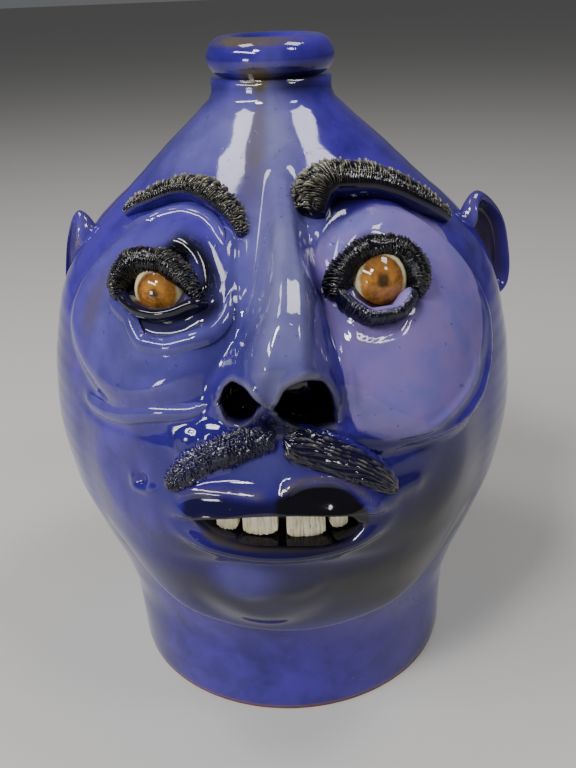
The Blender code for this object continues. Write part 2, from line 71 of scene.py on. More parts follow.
# Carving is drawn in millimetres on a jug 254 mm tall, and keeps its share of the height
HEIGHT = cad_box[1][2]
FACE = HEIGHT / 254
# Breadth of one degree round the face, in face millimetres
DEGREE = 1.45

Array = np.ndarray
Triple = tuple[float, float, float]
Stations = tuple[tuple[float, float], ...]


def ramp(low: float, high: float, value: Array | float) -> Array:
    """Eased step.

    Args:
        low: value where the step starts.
        high: value where the step ends.
        value: where to read it.

    Returns:
        0 below low, 1 above high, and an eased rise between them.
    """
    share = np.clip((value - low) / (high - low), 0, 1)
    return share * share * (3 - 2 * share)


@dataclass(frozen=True)
class Curve:
    """Smooth curve through (x, value) stations, with no overshoot between them."""

    stations: Stations

    def __call__(self, x: Array | float) -> Array:
        """Value at x, held level past both ends.

        Args:
            x: one or many places along the curve.

        Returns:
            The curve's value at each place.
        """
        xs, ys = np.array(self.stations, float).T
        steps = np.diff(xs)
        rises = np.diff(ys) / steps
        before, after = rises[:-1], rises[1:]
        total = np.where(before + after == 0, 1, before + after)
        inner = np.where(before * after > 0, 2 * before * after / total, 0)
        slopes = np.concatenate((rises[:1], inner, rises[-1:]))
        x = np.clip(x, xs[0], xs[-1])
        index = np.clip(np.searchsorted(xs, x, side="right") - 1, 0, len(xs) - 2)
        share = (x - xs[index]) / steps[index]
        square = share * share
        cube = square * share
        return ((2 * cube - 3 * square + 1) * ys[index]
                + (cube - 2 * square + share) * slopes[index] * steps[index]
                + (3 * square - 2 * cube) * ys[index + 1]
                + (cube - square) * slopes[index + 1] * steps[index])

    def scaled(self, size: float) -> "Curve":
        """The same curve with every value multiplied by size."""
        return Curve(tuple((x, value * size) for x, value in self.stations))


@dataclass(frozen=True)
class Path:
    """Line on the face through (azimuth, height) stations, in degrees and face millimetres."""

    stations: Stations

    def __call__(self, share: Array | float) -> tuple[Array, Array]:
        """Places on the line.

        Args:
            share: one or many shares of the way along the line.

        Returns:
            Azimuths and heights at those shares.
        """
        spread = np.asarray(share) * (len(self.stations) - 1)
        azimuths = Curve(tuple((i, s[0]) for i, s in enumerate(self.stations)))
        heights = Curve(tuple((i, s[1]) for i, s in enumerate(self.stations)))
        return azimuths(spread), heights(spread)


@dataclass(frozen=True)
class Hump:
    """Oval on the face, raised, sunk or painted."""

    azimuth: float
    z: float
    wide: float
    tall: float
    height: float
    soft: float = 0.5
    wobble: float = 0.0
    turn: float = 0.0

    def __call__(self, azimuth: Array, z: Array) -> Array:
        """Height of the oval.

        Args:
            azimuth: degrees from the front, to +X.
            z: heights in face millimetres.

        Returns:
            The full height inside, easing to 0 across the edge.
        """
        across = (azimuth - self.azimuth) * DEGREE
        up = z - self.z
        angle = math.radians(self.turn)
        along = across * math.cos(angle) + up * math.sin(angle)
        aside = up * math.cos(angle) - across * math.sin(angle)
        reach = np.hypot(along / (self.wide * DEGREE), aside / self.tall)
        bearing = np.arctan2(aside, along)
        reach = reach * (1 + self.wobble * np.sin(3 * bearing + 1) + self.wobble
                         * 0.7 * np.sin(5 * bearing))
        return self.height * (1 - ramp(1 - self.soft, 1 + self.soft, reach))


@dataclass(frozen=True)
class Stroke:
    """Rounded ridge, or groove where its height is below 0, along a path on the face."""

    path: Path
    width: float
    height: float
    samples: int = 48
    end_height: float = 0.05
    end_slope: float = 8

    def __call__(self, azimuth: Array, z: Array) -> Array:
        """Height of the stroke, eased out at both of its ends.

        Args:
            azimuth: degrees from the front, to +X.
            z: heights in face millimetres.

        Returns:
            The stroke's height at each place, 0 beyond three widths from its path.
        """
        shares = np.linspace(0, 1, self.samples)
        path_azimuth, path_z = self.path(shares)
        ends = np.minimum(shares, 1 - shares) * self.end_slope + self.end_height
        strength = np.minimum(1, ends)
        best = np.zeros_like(azimuth)
        reach = 3 * self.width
        near = (z > path_z.min() - reach) & (z < path_z.max() + reach)
        margin = reach / DEGREE
        near &= (azimuth > path_azimuth.min() - margin) & (azimuth < path_azimuth.max() + margin)
        across = (azimuth[near][:, None] - path_azimuth) * DEGREE
        up = z[near][:, None] - path_z
        fall = np.exp(-(across ** 2 + up ** 2) / self.width ** 2) * strength
        best[near] = fall.max(axis=1) if fall.size else 0
        return self.height * best


@dataclass(frozen=True)
class Pocket:
    """Area of the face between a lower and an upper edge: an opening, or a patch of glaze."""

    low: Curve
    high: Curve
    soft: float = 1.2

    def __call__(self, azimuth: Array, z: Array) -> Array:
        """How far places lie inside the area.

        Args:
            azimuth: degrees from the front, to +X.
            z: heights in face millimetres.

        Returns:
            Shares from 0 outside to 1 well inside the edges.
        """
        left, right = self.low.stations[0][0], self.low.stations[-1][0]
        inside = np.minimum(z - self.low(azimuth), self.high(azimuth) - z)
        ends = np.minimum(azimuth - left, right - azimuth) * DEGREE
        return ramp(-self.soft / 2, self.soft, np.minimum(inside, ends))


@dataclass(frozen=True)
class Wall:
    """The thrown jug under the face: its outline as one turned profile."""

    foot_radius: float = 69 * MM
    belly_radius: float = 92.3 * MM
    neck_radius: float = 22 * MM
    lip_radius: float = 23.3 * MM
    lip_roll: float = 7 * MM
    bore_radius: float = 15.5 * MM
    thickness: float = 6.5 * MM
    floor: float = 8 * MM
    foot_edge: float = 1.2 * MM
    lower: Stations = ((0.0, 0.0), (0.12, 0.05), (0.2, 0.25), (0.3, 0.64), (0.375, 0.89),
                       (0.47, 1.0))
    upper: Stations = ((0.55, 0.98), (0.6, 0.946), (0.65, 0.902), (0.7, 0.814), (0.75, 0.666),
                       (0.8, 0.467), (0.85, 0.276), (0.9, 0.074), (0.925, 0.0), (0.945, 0.0))

    def outline(self) -> Curve:
        """Outline of the thrown wall.

        Returns:
            Radius at each height, from the foot to the underside of the lip.
        """
        low = [(z * HEIGHT, self.foot_radius + (self.belly_radius - self.foot_radius) * share)
               for z, share in self.lower]
        high = [(z * HEIGHT, self.neck_radius + (self.belly_radius - self.neck_radius) * share)
                for z, share in self.upper]
        return Curve(tuple(low + high))

    def top(self) -> float:
        """Height where the wall ends under the lip."""
        return self.upper[-1][0] * HEIGHT

    def radius(self, z: Array | float) -> Array:
        """Radius of the wall at heights in metres."""
        return self.outline()(z)

    def normal(self, z: Array | float) -> tuple[Array, Array]:
        """Outward direction of the wall.

        Args:
            z: heights in metres.

        Returns:
            The direction's radial and upward parts at each height.
        """
        step = 0.5 * MM
        rise = (self.radius(z + step) - self.radius(z - step)) / (2 * step)
        length = np.hypot(1, rise)
        return 1 / length, -rise / length


class Face:
    """The face built up on the wall: heights in face millimetres over azimuth and level."""

    nose_line = Curve(((146, -1.5), (165, 0.2), (182, 1.8), (200, 2.0)))
    nose_half_width = Curve(((145, 12.5), (155, 13), (163, 11.0), (172, 8.5), (188, 7.0),
                             (212, 6.0)))
    nose_height = Curve(((143, 0), (147, 4), (153, 13), (160, 21), (166, 25), (171, 24),
                         (180, 19.5), (190, 13), (200, 7), (208, 3), (216, 0)))
    mounds = (
        Hump(33, 167.5, 21.5, 33, 6.0, 0.15, 0.02),
        Hump(-35, 174.5, 22.5, 26.5, 5.0, 0.22, 0.02),
        Hump(-2, 115, 22, 17, 2.5, 0.5),
        Hump(-6, 83, 10, 10, 3.5, 0.6),
        Hump(-2, 96, 15, 4, -1.5, 0.8),
        Hump(28, 124, 8, 13, -2.5, 0.7),
        Hump(-32, 124, 8, 13, -2.0, 0.7),
        Hump(-12.8, 142.2, 3.0, 3.6, 1.8, 0.5),
        Hump(-17.8, 140.6, 1.8, 3.0, 1.3, 0.5),
        Hump(-8.0, 93, 4.5, 5, 1.2, 0.6),
        Hump(1.8, 92.5, 4.5, 5, 1.2, 0.6),
    )
    open_mouth = Pocket(
        Curve(((-17.5, 117.5), (-15.5, 113.5), (-13, 110.8), (-5, 108.4), (4.5, 108),
               (10.5, 109.4), (13, 112))),
        Curve(((-17.5, 118.5), (-13.5, 121.8), (-3, 122.4), (4, 122.2), (9, 118.8),
               (13, 113))), 1.2)
    nostril_left = Pocket(
        Curve(((-11.6, 153), (-10.6, 148.4), (-8.4, 147), (-6, 149), (-3.7, 155.5))),
        Curve(((-11.6, 153.5), (-10.4, 158), (-8.2, 160.2), (-6.2, 159.8), (-3.7, 156))), 1.0)
    nostril_right = Pocket(
        Curve(((-1.3, 153), (0.2, 148.6), (2.5, 146.2), (5.5, 144.9), (9.4, 145.6))),
        Curve(((-1.3, 155), (0.2, 159.6), (3.2, 161.6), (6, 160.4), (8.2, 155.4),
               (9.4, 149))), 1.0)
    # Patch on the upper lip's front that is painted dark, as painted shade under its curl
    lip_front_shade = Pocket(
        Curve(((-18.5, 118), (-13, 120), (0, 121), (8, 118), (14.4, 113))),
        Curve(((-18.5, 123.5), (-15, 127), (-3, 127.6), (-0.5, 128.8), (2.5, 129.6),
               (6, 129.6), (9, 128.4), (12, 125), (14.4, 119))), 1.2)
    mouth_depth = 12
    nostril_depth = 12
    # Middle, levels, bows and heights of the lip rolls
    lips_middle = -1.5
    upper_lip, upper_bow, upper_proud = 124.6, 0.016, 6.0
    lower_lip, lower_bow, lower_proud = 104.5, 0.018, 3.0
    # Level and bow of the jaw's ledge, and how far it stands out
    jaw_ledge, jaw_bow, jaw_proud = 57, 0.011, 9.5
    # Cells a metre, seed and height of the broad and the small dents
    dent_sizes = ((22, 0.0, 0.55), (60, 3.0, 0.14))
    saucer = Path(((-40.5, 180), (-38.5, 176), (-33, 172.8), (-30.5, 169.6), (-27.8, 167.2),
                   (-23.2, 167), (-18.5, 168.8), (-14, 171.5), (-11.8, 177), (-11.4, 183)))
    hollows = (
        Hump(-29, 182, 6.5, 7, -5.0, 0.5),
        Hump(23.8, 183, 6.5, 8, -5.0, 0.5),
    )

    folds = (
        # Orbits' upper edges, the left eye's saucer, and its crescent
        Stroke(Path(((-60, 194), (-56, 196), (-48, 196.6), (-42.5, 197.4), (-39.5, 199.6),
                     (-32, 201.8), (-25, 201.2), (-20, 199), (-14, 193), (-12, 187))), 2.4, 0.7),
        Stroke(Path(((9.5, 189.5), (12.2, 195.5), (17, 199.5), (26, 202), (36, 201.5),
                     (47, 199.5), (57, 195))), 1.8, 0.9),
        Stroke(saucer, 2.2, 0.8),
        Stroke(Path(((-36, 176), (-31, 171.6), (-26, 170), (-20, 171.2), (-15.4, 175.4))), 1.6,
               -0.9),
        Stroke(Path(((-31, 193), (-26.5, 193), (-22, 191.5), (-18.8, 188.5), (-16.8, 184),
                     (-16, 180))), 2.0, 2.2),
        # The right mound's edge by the nose, and the two folds under it
        Stroke(Path(((12.5, 190), (11.2, 181), (11, 172), (12, 163), (12.2, 156), (13, 149),
                     (14.5, 143))), 1.3, 1.1),
        Stroke(Path(((9, 186), (8.6, 176), (8.8, 166), (9.8, 158), (10.6, 150))), 2.0, -1.0),
        Stroke(Path(((13.8, 140.8), (19.2, 138.8), (24, 140), (29, 142), (34.5, 145),
                     (39.5, 149), (43.5, 156))), 1.3, 1.0),
        Stroke(Path(((14.8, 137), (19.2, 136), (24.5, 136), (30, 137.6), (36, 140), (42, 143),
                     (47, 149), (51, 157))), 1.2, 0.8),
        Stroke(Path(((14, 134), (19, 132.4), (25, 132.2), (32, 133.6), (39, 137))), 2.2, -0.9),
        # The left cheek's lower edge
        Stroke(Path(((-50, 143), (-45, 142), (-39, 142.4), (-32, 144.4), (-28, 146.4),
                     (-24, 147.8), (-18.2, 149), (-14, 152))), 2.4, 0.9),
        Stroke(Path(((-52, 138), (-45, 137.5), (-36, 138.5), (-28, 140), (-22, 142))), 2.2, -0.7),
        # Hollows beside the bridge
        Stroke(Path(((10, 196), (8.6, 189), (9.4, 182))), 2.6, -1.6),
        Stroke(Path(((-12, 196), (-11, 190), (-10, 183))), 2.6, -1.2),
        # Nostril rims, the septum, and the ridge along the nose
        Stroke(Path(((-12.2, 153), (-11.2, 158.6), (-8.2, 161.8), (-5.6, 161.2), (-3.6, 157.6),
                     (-2.4, 152))), 1.0, 1.1),
        Stroke(Path(((-1.6, 156), (-0.4, 160.8), (3.2, 163), (6.8, 161.6), (9.2, 156),
                     (10.4, 150))), 1.1, 1.2),
        Stroke(Path(((-0.8, 158), (-1.3, 153), (-1.2, 148))), 1.2, 1.2),
        Stroke(Path(((0.2, 170), (0.8, 178), (1.4, 188), (1.6, 198))), 2.2, 0.9),
        # The left corner's dimple, the ridge above the lip, and the right corner's bump
        Stroke(Path(((-25, 123.5), (-28, 120.4), (-31.4, 119.8), (-31.6, 124.5))), 1.3, 1.0),
        Stroke(Path(((-28.5, 124.5), (-29, 122))), 1.4, -1.4),
        Stroke(Path(((-16.8, 129.2), (-14.5, 131.2), (-12.2, 133), (-10, 134.2))), 1.2, 0.8),
        Stroke(Path(((20, 121), (23, 121), (26, 120.5))), 3.0, 1.2),
        # The right side of the lip curls up
        Stroke(Path(((-1.6, 127), (0.5, 129.4), (4, 130.6), (8, 129.8), (11.4, 127.2),
                     (14.4, 123.2), (16.6, 118))), 1.3, 1.4),
        Stroke(Path(((-20, 123.6), (-17.4, 126), (-13.8, 127.4), (-7.8, 128.2),
                     (-3, 128))), 1.2, 1.5),
        Stroke(Path(((-1.6, 124), (-1.2, 127.5), (-1, 131))), 1.4, -0.6),
        Stroke(Path(((-0.5, 125.6), (3, 126.6), (7, 125.8), (11, 122.4), (13.5, 119))), 2.2,
               -1.5),
        Stroke(Path(((-17, 122), (-12, 124.2), (-6, 124.4), (-2, 124.2))), 1.6, -0.5),
        # The fold under the right lid
        Stroke(Path(((13.2, 175), (14.8, 170.4), (19, 168.2), (23, 168.6), (26.5, 172.2),
                     (29.5, 175))), 1.0, -0.7),
    )
    nose_pleats = tuple(
        Stroke(Path(((azimuth, high), (azimuth + 1.2, low))), 0.55, 0.5, 24)
        for azimuth, high, low in (
            (-14.2, 180, 169), (-13.1, 184, 167), (-12.0, 180, 171), (-10.9, 185, 165),
            (-9.8, 181, 168), (-8.7, 184, 162), (-7.7, 179, 166), (-6.8, 177, 161)))

    def __init__(self, wall: Wall) -> None:
        """Keeps the wall that the face is built on."""
        self.wall = wall

    def nose(self, azimuth: Array, z: Array) -> Array:
        """Height of the nose, narrow at the bridge and broad at the wings."""
        reach = np.abs(azimuth - self.nose_line(z)) / self.nose_half_width(z)
        return self.nose_height(z) * (1 - ramp(0.2, 1.2, reach))

    def lips(self, azimuth: Array, z: Array) -> tuple[Array, Array]:
        """The two lip rolls, which fade out at the corners of the mouth.

        Args:
            azimuth: degrees from the front, to +X.
            z: heights in face millimetres.

        Returns:
            Heights of the upper and the lower roll.
        """
        aside = azimuth - self.lips_middle
        upper_line = self.upper_lip - self.upper_bow * aside ** 2
        lower_line = self.lower_lip + self.lower_bow * aside ** 2
        ends = 1 - ramp(12, 23, np.abs(aside))
        spread = np.where(z > upper_line, 4.2, 2.6)
        upper = self.upper_proud * np.exp(-((z - upper_line) / spread) ** 2) * ends
        lower = self.lower_proud * np.exp(-((z - lower_line) / 3.0) ** 2) * ends
        return upper, lower

    def jaw(self, azimuth: Array, z: Array) -> Array:
        """Slab that makes the lower face and ends in the jaw's ledge.

        Args:
            azimuth: degrees from the front, to +X.
            z: heights in face millimetres.

        Returns:
            The slab's height at each place.
        """
        jaw_line = self.jaw_ledge + self.jaw_bow * azimuth ** 2
        rise = ramp(0, 1, (z - jaw_line + 8) / 17)
        side = 1 - ramp(22, 54, np.abs(azimuth))
        fade = 1 - ramp(130, 195, z)
        return self.jaw_proud * rise * side * fade

    def dents(self, azimuth: Array, z: Array) -> Array:
        """Slight dents left in the clay by hand, none of them at the foot.

        Args:
            azimuth: degrees from the front, to +X.
            z: heights in face millimetres.

        Returns:
            Heights of the dents about 0, in face millimetres.
        """
        angle = np.radians(azimuth)
        radius = self.wall.radius(z * FACE)
        points = np.stack((radius * np.sin(angle), -radius * np.cos(angle), z * FACE), axis=-1)
        dents = sum(rough_noise(points, scale, seed) * height
                    for scale, seed, height in self.dent_sizes)
        return dents * ramp(0, 14, z)

    def settled(self, azimuth: Array, level: Array) -> Array:
        """Levels slid up or down so that level rings follow the openings' edges.

        Args:
            azimuth: degrees from the front, to +X.
            level: even levels, in face millimetres.

        Returns:
            The levels to model at.
        """
        mouth, left, right = self.open_mouth, self.nostril_left, self.nostril_right
        rings = []
        places = []
        for ring, curves in ((98.0, ()), (109.5, (mouth.low,)), (121.5, (mouth.high,)),
                             (137.0, ()), (148.0, (left.low, right.low)),
                             (160.0, (left.high, right.high)), (174.0, ())):
            stations = sum((curve.stations for curve in curves), ())
            shift = np.zeros_like(azimuth)
            if stations:
                beyond = np.maximum(stations[0][0] - azimuth, azimuth - stations[-1][0])
                shift = (Curve(stations)(azimuth) - ring) * (1 - ramp(0, 14, beyond))
            rings.append(ring)
            places.append(ring + shift)
        moved = level.copy()
        for index in range(len(rings) - 1):
            low, high = rings[index:index + 2]
            within = (level >= low) & (level < high)
            share = (level[within] - low) / (high - low)
            moved[within] = (places[index][within] * (1 - share)
                             + places[index + 1][within] * share)
        return moved

    def openings(self, azimuth: Array, z: Array) -> Array:
        """Depth of the open mouth and the nostrils."""
        nostrils = self.nostril_left(azimuth, z) + self.nostril_right(azimuth, z)
        return self.mouth_depth * self.open_mouth(azimuth, z) + self.nostril_depth * nostrils

    def relief(self, azimuth: Array, z: Array, open_forms: bool = True) -> tuple[Array, Array]:
        """Height of the face above the wall, and its drop down the wall.

        Args:
            azimuth: degrees from the front, to +X.
            z: level on the wall, in face millimetres.
            open_forms: whether the mouth, nostrils and eye hollows are sunk in.

        Returns:
            Height and drop in face millimetres.
        """
        upper, lower = self.lips(azimuth, z)
        slab = self.jaw(azimuth, z)
        height = slab + self.nose(azimuth, z) + upper + lower
        for mound in self.mounds:
            height = height + mound(azimuth, z)
        drop = 0.45 * upper + 0.3 * slab * (1 - ramp(62, 95, z))
        if open_forms:
            for form in (*self.folds, *self.nose_pleats, *self.hollows):
                height = height + form(azimuth, z)
            height = height - self.openings(azimuth, z)
        return height, drop

    def skin(self, azimuth: Array, z: Array, lift: Array | float = 0.0,
             open_forms: bool = False) -> Array:
        """Points on the finished face.

        Args:
            azimuth: degrees from the front, to +X.
            z: level on the wall, in face millimetres.
            lift: further height along the wall's normal, in face millimetres.
            open_forms: whether the mouth, nostrils and eye hollows are sunk in.

        Returns:
            One row of x, y, z in metres for each point.
        """
        azimuth, z = np.broadcast_arrays(np.asarray(azimuth, float), np.asarray(z, float))
        height, drop = self.relief(azimuth, z, open_forms)
        level = z * FACE
        out, up = self.wall.normal(level)
        raised = (height + lift) * FACE
        radius = self.wall.radius(level) + raised * out
        angle = np.radians(azimuth)
        return np.stack((radius * np.sin(angle), -radius * np.cos(angle),
                         level + raised * up - drop * FACE), axis=-1)

    def normal(self, azimuth: Array, z: Array) -> Array:
        """Outward directions of the wall under points of the face.

        Args:
            azimuth: degrees from the front, to +X.
            z: level on the wall, in face millimetres.

        Returns:
            One row of x, y, z for each point.
        """
        out, up = self.wall.normal(np.asarray(z, float) * FACE)
        angle = np.radians(azimuth)
        return np.stack((out * np.sin(angle), -out * np.cos(angle), up + 0 * angle), axis=-1)


class Field:
    """Shader socket that takes part in arithmetic."""

    def __init__(self, graph: "Graph", socket: bpy.types.NodeSocket) -> None:
        """Wraps one output socket of a graph."""
        self.graph = graph
        self.socket = socket

    def _math(self, operation: str, *values: object) -> "Field":
        """Adds a Math node over the values, this field among them."""
        inputs = dict(enumerate(values))
        return self.graph.node("ShaderNodeMath", {"operation": operation}, inputs)

    def __add__(self, other: object) -> "Field":
        """Sum."""
        return self._math("ADD", self, other)

    def __radd__(self, other: object) -> "Field":
        """Sum with this field on the right."""
        return self._math("ADD", other, self)

    def __sub__(self, other: object) -> "Field":
        """Difference."""
        return self._math("SUBTRACT", self, other)

    def __rsub__(self, other: object) -> "Field":
        """Difference with this field on the right."""
        return self._math("SUBTRACT", other, self)

    def __mul__(self, other: object) -> "Field":
        """Product."""
        return self._math("MULTIPLY", self, other)

    def __rmul__(self, other: object) -> "Field":
        """Product with this field on the right."""
        return self._math("MULTIPLY", other, self)

    def step(self, low: float, high: float) -> "Field":
        """Eased step.

        Args:
            low: value where the step starts.
            high: value where the step ends.

        Returns:
            0 below low, 1 above high, and an eased rise between them.
        """
        settings = {"interpolation_type": "SMOOTHSTEP"}
        inputs = {"Value": self, "From Min": low, "From Max": high}
        return self.graph.node("ShaderNodeMapRange", settings, inputs, "Result")

    def clamp(self) -> "Field":
        """The field held between 0 and 1."""
        return self.graph.node("ShaderNodeClamp", {}, {"Value": self}, "Result")


class Graph:
    """Node graph of one material, with a Principled shader at its end."""

    def __init__(self, name: str) -> None:
        """Starts a material.

        Args:
            name: the material's name.
        """
        self.material = bpy.data.materials.new(name)
        self.material.use_nodes = True
        self.tree = self.material.node_tree
        self.shader = self.tree.nodes["Principled BSDF"]

    def node(self, kind: str, settings: dict[str, object], inputs: dict[object, object],
             output: str | int = 0) -> Field:
        """Adds a node.

        Args:
            kind: the node's type.
            settings: its settings, set before its sockets.
            inputs: value or field of each input socket, by name or number.
            output: the output socket that is wanted.

        Returns:
            The wanted output.
        """
        made = self.tree.nodes.new(kind)
        for name, value in settings.items():
            setattr(made, name, value)
        for key, value in inputs.items():
            self.feed(made.inputs[key], value)
        return Field(self, made.outputs[output])

    def feed(self, socket: bpy.types.NodeSocket, value: object) -> None:
        """Links a field to a socket, or sets the socket's own value.

        Args:
            socket: the input socket.
            value: the field, or the value.
        """
        if isinstance(value, Field):
            self.tree.links.new(value.socket, socket)
        else:
            socket.default_value = value

    def place(self) -> Field:
        """Object coordinates."""
        return self.node("ShaderNodeTexCoord", {}, {}, "Object")

    def attribute(self, name: str) -> Field:
        """Number kept on the piece's vertices."""
        return self.node("ShaderNodeAttribute", {"attribute_name": name}, {}, "Fac")

    def noise(self, place: Field, scale: float, detail: float = 2.0,
              distortion: float = 0.0) -> Field:
        """Cloudy noise from 0 to 1, with scale in cells a metre."""
        inputs = {"Vector": place, "Scale": scale, "Detail": detail, "Distortion": distortion}
        return self.node("ShaderNodeTexNoise", {}, inputs, "Fac")

    def blend(self, share: object, low: object, high: object) -> Field:
        """Mixes two colours.

        Args:
            share: from 0 to 1, how much of the high colour there is.
            low: colour where the share is 0.
            high: colour where the share is 1.

        Returns:
            The mixed colour.
        """
        made = self.tree.nodes.new("ShaderNodeMix")
        made.data_type = "RGBA"
        self.feed(made.inputs["Factor"], share)
        colours = [socket for socket in made.inputs if socket.type == "RGBA"]
        self.feed(colours[0], low)
        self.feed(colours[1], high)
        output = next(socket for socket in made.outputs if socket.type == "RGBA")
        return Field(self, output)

    def bump(self, height: Field, distance: float, strength: float = 1.0) -> Field:
        """Normal tilted by a height field, distance in metres."""
        inputs = {"Height": height, "Distance": distance, "Strength": strength}
        return self.node("ShaderNodeBump", {}, inputs, "Normal")

    def finish(self, **inputs: object) -> bpy.types.Material:
        """Feeds the shader's inputs and ends the graph.

        Args:
            inputs: value or field of each input, an underscore standing for a space.

        Returns:
            The material.
        """
        for name, value in inputs.items():
            self.feed(self.shader.inputs[name.replace("_", " ")], value)
        return self.material


def linear(red: float, green: float, blue: float) -> tuple[float, float, float, float]:
    """Linear colour of a display colour, by the standard display curve.

    Args:
        red: red from 0 to 255.
        green: green from 0 to 255.
        blue: blue from 0 to 255.

    Returns:
        Linear red, green and blue from 0 to 1, and a solid alpha.
    """
    values = []
    for value in (red, green, blue):
        share = value / 255
        values.append(share / 12.92 if share <= 0.04045 else ((share + 0.055) / 1.055) ** 2.4)
    return (*values, 1.0)


@dataclass(frozen=True)
class CobaltGlaze:
    """Thick glossy cobalt glaze: it pools dark, thins to grey-green and breaks to tan; painted
    shade, sheen and glints lie over it.
    """

    deep: Triple = (30, 20, 96)
    body: Triple = (58, 40, 142)
    pale: Triple = (98, 98, 138)
    mauve_sheen: Triple = (118, 101, 158)
    bluish_sheen: Triple = (98, 95, 158)
    tan: Triple = (76, 68, 50)
    black_glaze_and_shade: Triple = (7, 6, 13)
    worn_and_glint: Triple = (154, 150, 130)
    clay: Triple = (126, 66, 42)
    roughness: float = 0.07

    def build(self) -> bpy.types.Material:
        """Makes the glaze's material, which reads the strength of each shade, painted shade and
        sheen among them, on the vertices.

        Returns:
            The material.
        """
        graph = Graph("cobalt_glaze")
        place = graph.place()
        cloud = graph.noise(place, 16, 4, 0.8)
        mottle = graph.noise(place, 95, 5, 0.4)
        speck = graph.noise(place, 900, 2)
        tone = (cloud * 0.65 + mottle * 0.35).step(0.36, 0.64)
        colour = graph.blend(tone, linear(*self.deep), linear(*self.body))
        # Pale where the glaze runs thin, and painted sheen and highlights: on the left cheek, the
        # philtrum, the chin's bumps, the ridges and the crests
        pale = (graph.attribute("pale") * (0.5 + mottle)).clamp()
        colour = graph.blend(pale, colour, linear(*self.pale))
        # Painted lavender sheen over the right eye's mound and the right lid's strip, mottled
        # between mauve and bluish
        ragged = (graph.attribute("mauve_sheen") + (mottle - 0.5) * 0.9).step(0.3, 0.75)
        mauve_sheen = (ragged * (0.5 + cloud * 0.85)).clamp()
        patch = graph.blend((mottle * 0.6 + cloud * 0.4).step(0.34, 0.62),
                            linear(*self.bluish_sheen), linear(*self.mauve_sheen))
        colour = graph.blend(mauve_sheen, colour, patch)
        # Deeper blue where the glaze pools in hollows, and painted shade: under the chin and
        # right jaw, beside the bridge and the mouth, on the lip's front and in the ears' cups
        colour = graph.blend(graph.attribute("pool_and_shade") * 0.7, colour, linear(*self.deep))
        thin = (graph.attribute("thin") * (0.4 + mottle * 1.2)).clamp()
        colour = graph.blend(thin, colour, linear(*self.tan))
        dot = speck.step(0.70, 0.76) * 0.45
        colour = graph.blend(dot, colour, linear(*self.pale))
        pit = (1 - graph.noise(place, 420, 1).step(0.24, 0.29)) * 0.4
        colour = graph.blend(pit, colour, linear(*self.deep))
        # Black glaze on the brows, lashes and moustache, and painted shade: on the neck under the
        # rolled lip, in the eye sockets, under the right brow, on the lip's front, inside the
        # mouth and nostrils, on the chin and the right side
        colour = graph.blend(graph.attribute("black_glaze_and_shade"), colour, linear(*self.black_glaze_and_shade))
        # Glaze worn off the hair strokes' tips, and painted glints on them
        worn_and_glint = (graph.attribute("worn_and_glint") * (mottle + 0.45)).clamp()
        colour = graph.blend(worn_and_glint, colour, linear(*self.worn_and_glint))
        bare = graph.attribute("bare")
        colour = graph.blend(bare, colour, linear(*self.clay))
        ripple = graph.noise(place, 150, 2)
        swell = graph.noise(place, 48, 1)
        height = swell * 0.6 + ripple * 0.22 + speck * 0.02 - pit * 0.2
        normal = graph.bump(height, 0.6 * MM, 0.28)
        rough = self.roughness + bare * 0.6 + speck.step(0.6, 0.8) * 0.05
        return graph.finish(Base_Color=colour, Roughness=rough, Normal=normal)


@dataclass(frozen=True)
class EyeGlaze:
    """Clear gloss over cream clay with an amber iris and a dark pupil."""

    name: str
    centre: Vector
    gaze: Vector
    radius: float
    iris: float
    pupil: float
    narrow: float
    white: Triple = (220, 210, 168)
    amber: Triple = (182, 126, 54)
    brown: Triple = (96, 58, 26)
    dark: Triple = (34, 28, 22)
    roughness: float = 0.07

    def build(self) -> bpy.types.Material:
        """Makes the eye's material, with the iris laid round the point of the gaze.

        Returns:
            The material.
        """
        graph = Graph(self.name)
        place = graph.place()
        offset = graph.node("ShaderNodeVectorMath", {"operation": "SUBTRACT"},
                            {0: place, 1: tuple(self.centre + self.gaze * self.radius)},
                            "Vector")
        oval = graph.node("ShaderNodeVectorMath", {"operation": "MULTIPLY"},
                          {0: offset, 1: (self.narrow, self.narrow, 1 / self.narrow)}, "Vector")
        away = graph.node("ShaderNodeVectorMath", {"operation": "LENGTH"}, {0: oval}, "Value")
        ragged = graph.noise(place, 500, 3)
        fibre = graph.noise(place, 900, 2)
        cloud = graph.noise(place, 150, 2)
        edge = away + (ragged - 0.5) * (1.4 * MM)
        iris = 1 - edge.step(self.iris - 1.0 * MM, self.iris + 0.7 * MM)
        pupil = 1 - edge.step(self.pupil - 0.8 * MM, self.pupil + 1.3 * MM)
        amber = graph.blend((cloud * 0.75 + fibre * 0.25).step(0.3, 0.62), linear(*self.brown),
                            linear(*self.amber))
        rim = edge.step(self.iris * 0.72, self.iris)
        amber = graph.blend(rim * 0.35, amber, linear(*self.brown))
        # The upper part of the ball is painted in shade, as under the lid: browner iris and a
        # darker white
        height = graph.node("ShaderNodeSeparateXYZ", {}, {"Vector": place}, "Z")
        upper = height.step(self.centre.z, self.centre.z + self.radius)
        amber = graph.blend(upper * 0.8, amber, linear(*self.brown))
        colour = graph.blend(iris, linear(*self.white), amber)
        colour = graph.blend(upper * 0.35, colour, linear(*self.dark))
        colour = graph.blend(pupil * 0.85, colour, linear(*self.dark))
        normal = graph.bump(cloud, 0.2 * MM, 0.3)
        return graph.finish(Base_Color=colour, Roughness=self.roughness, Normal=normal)


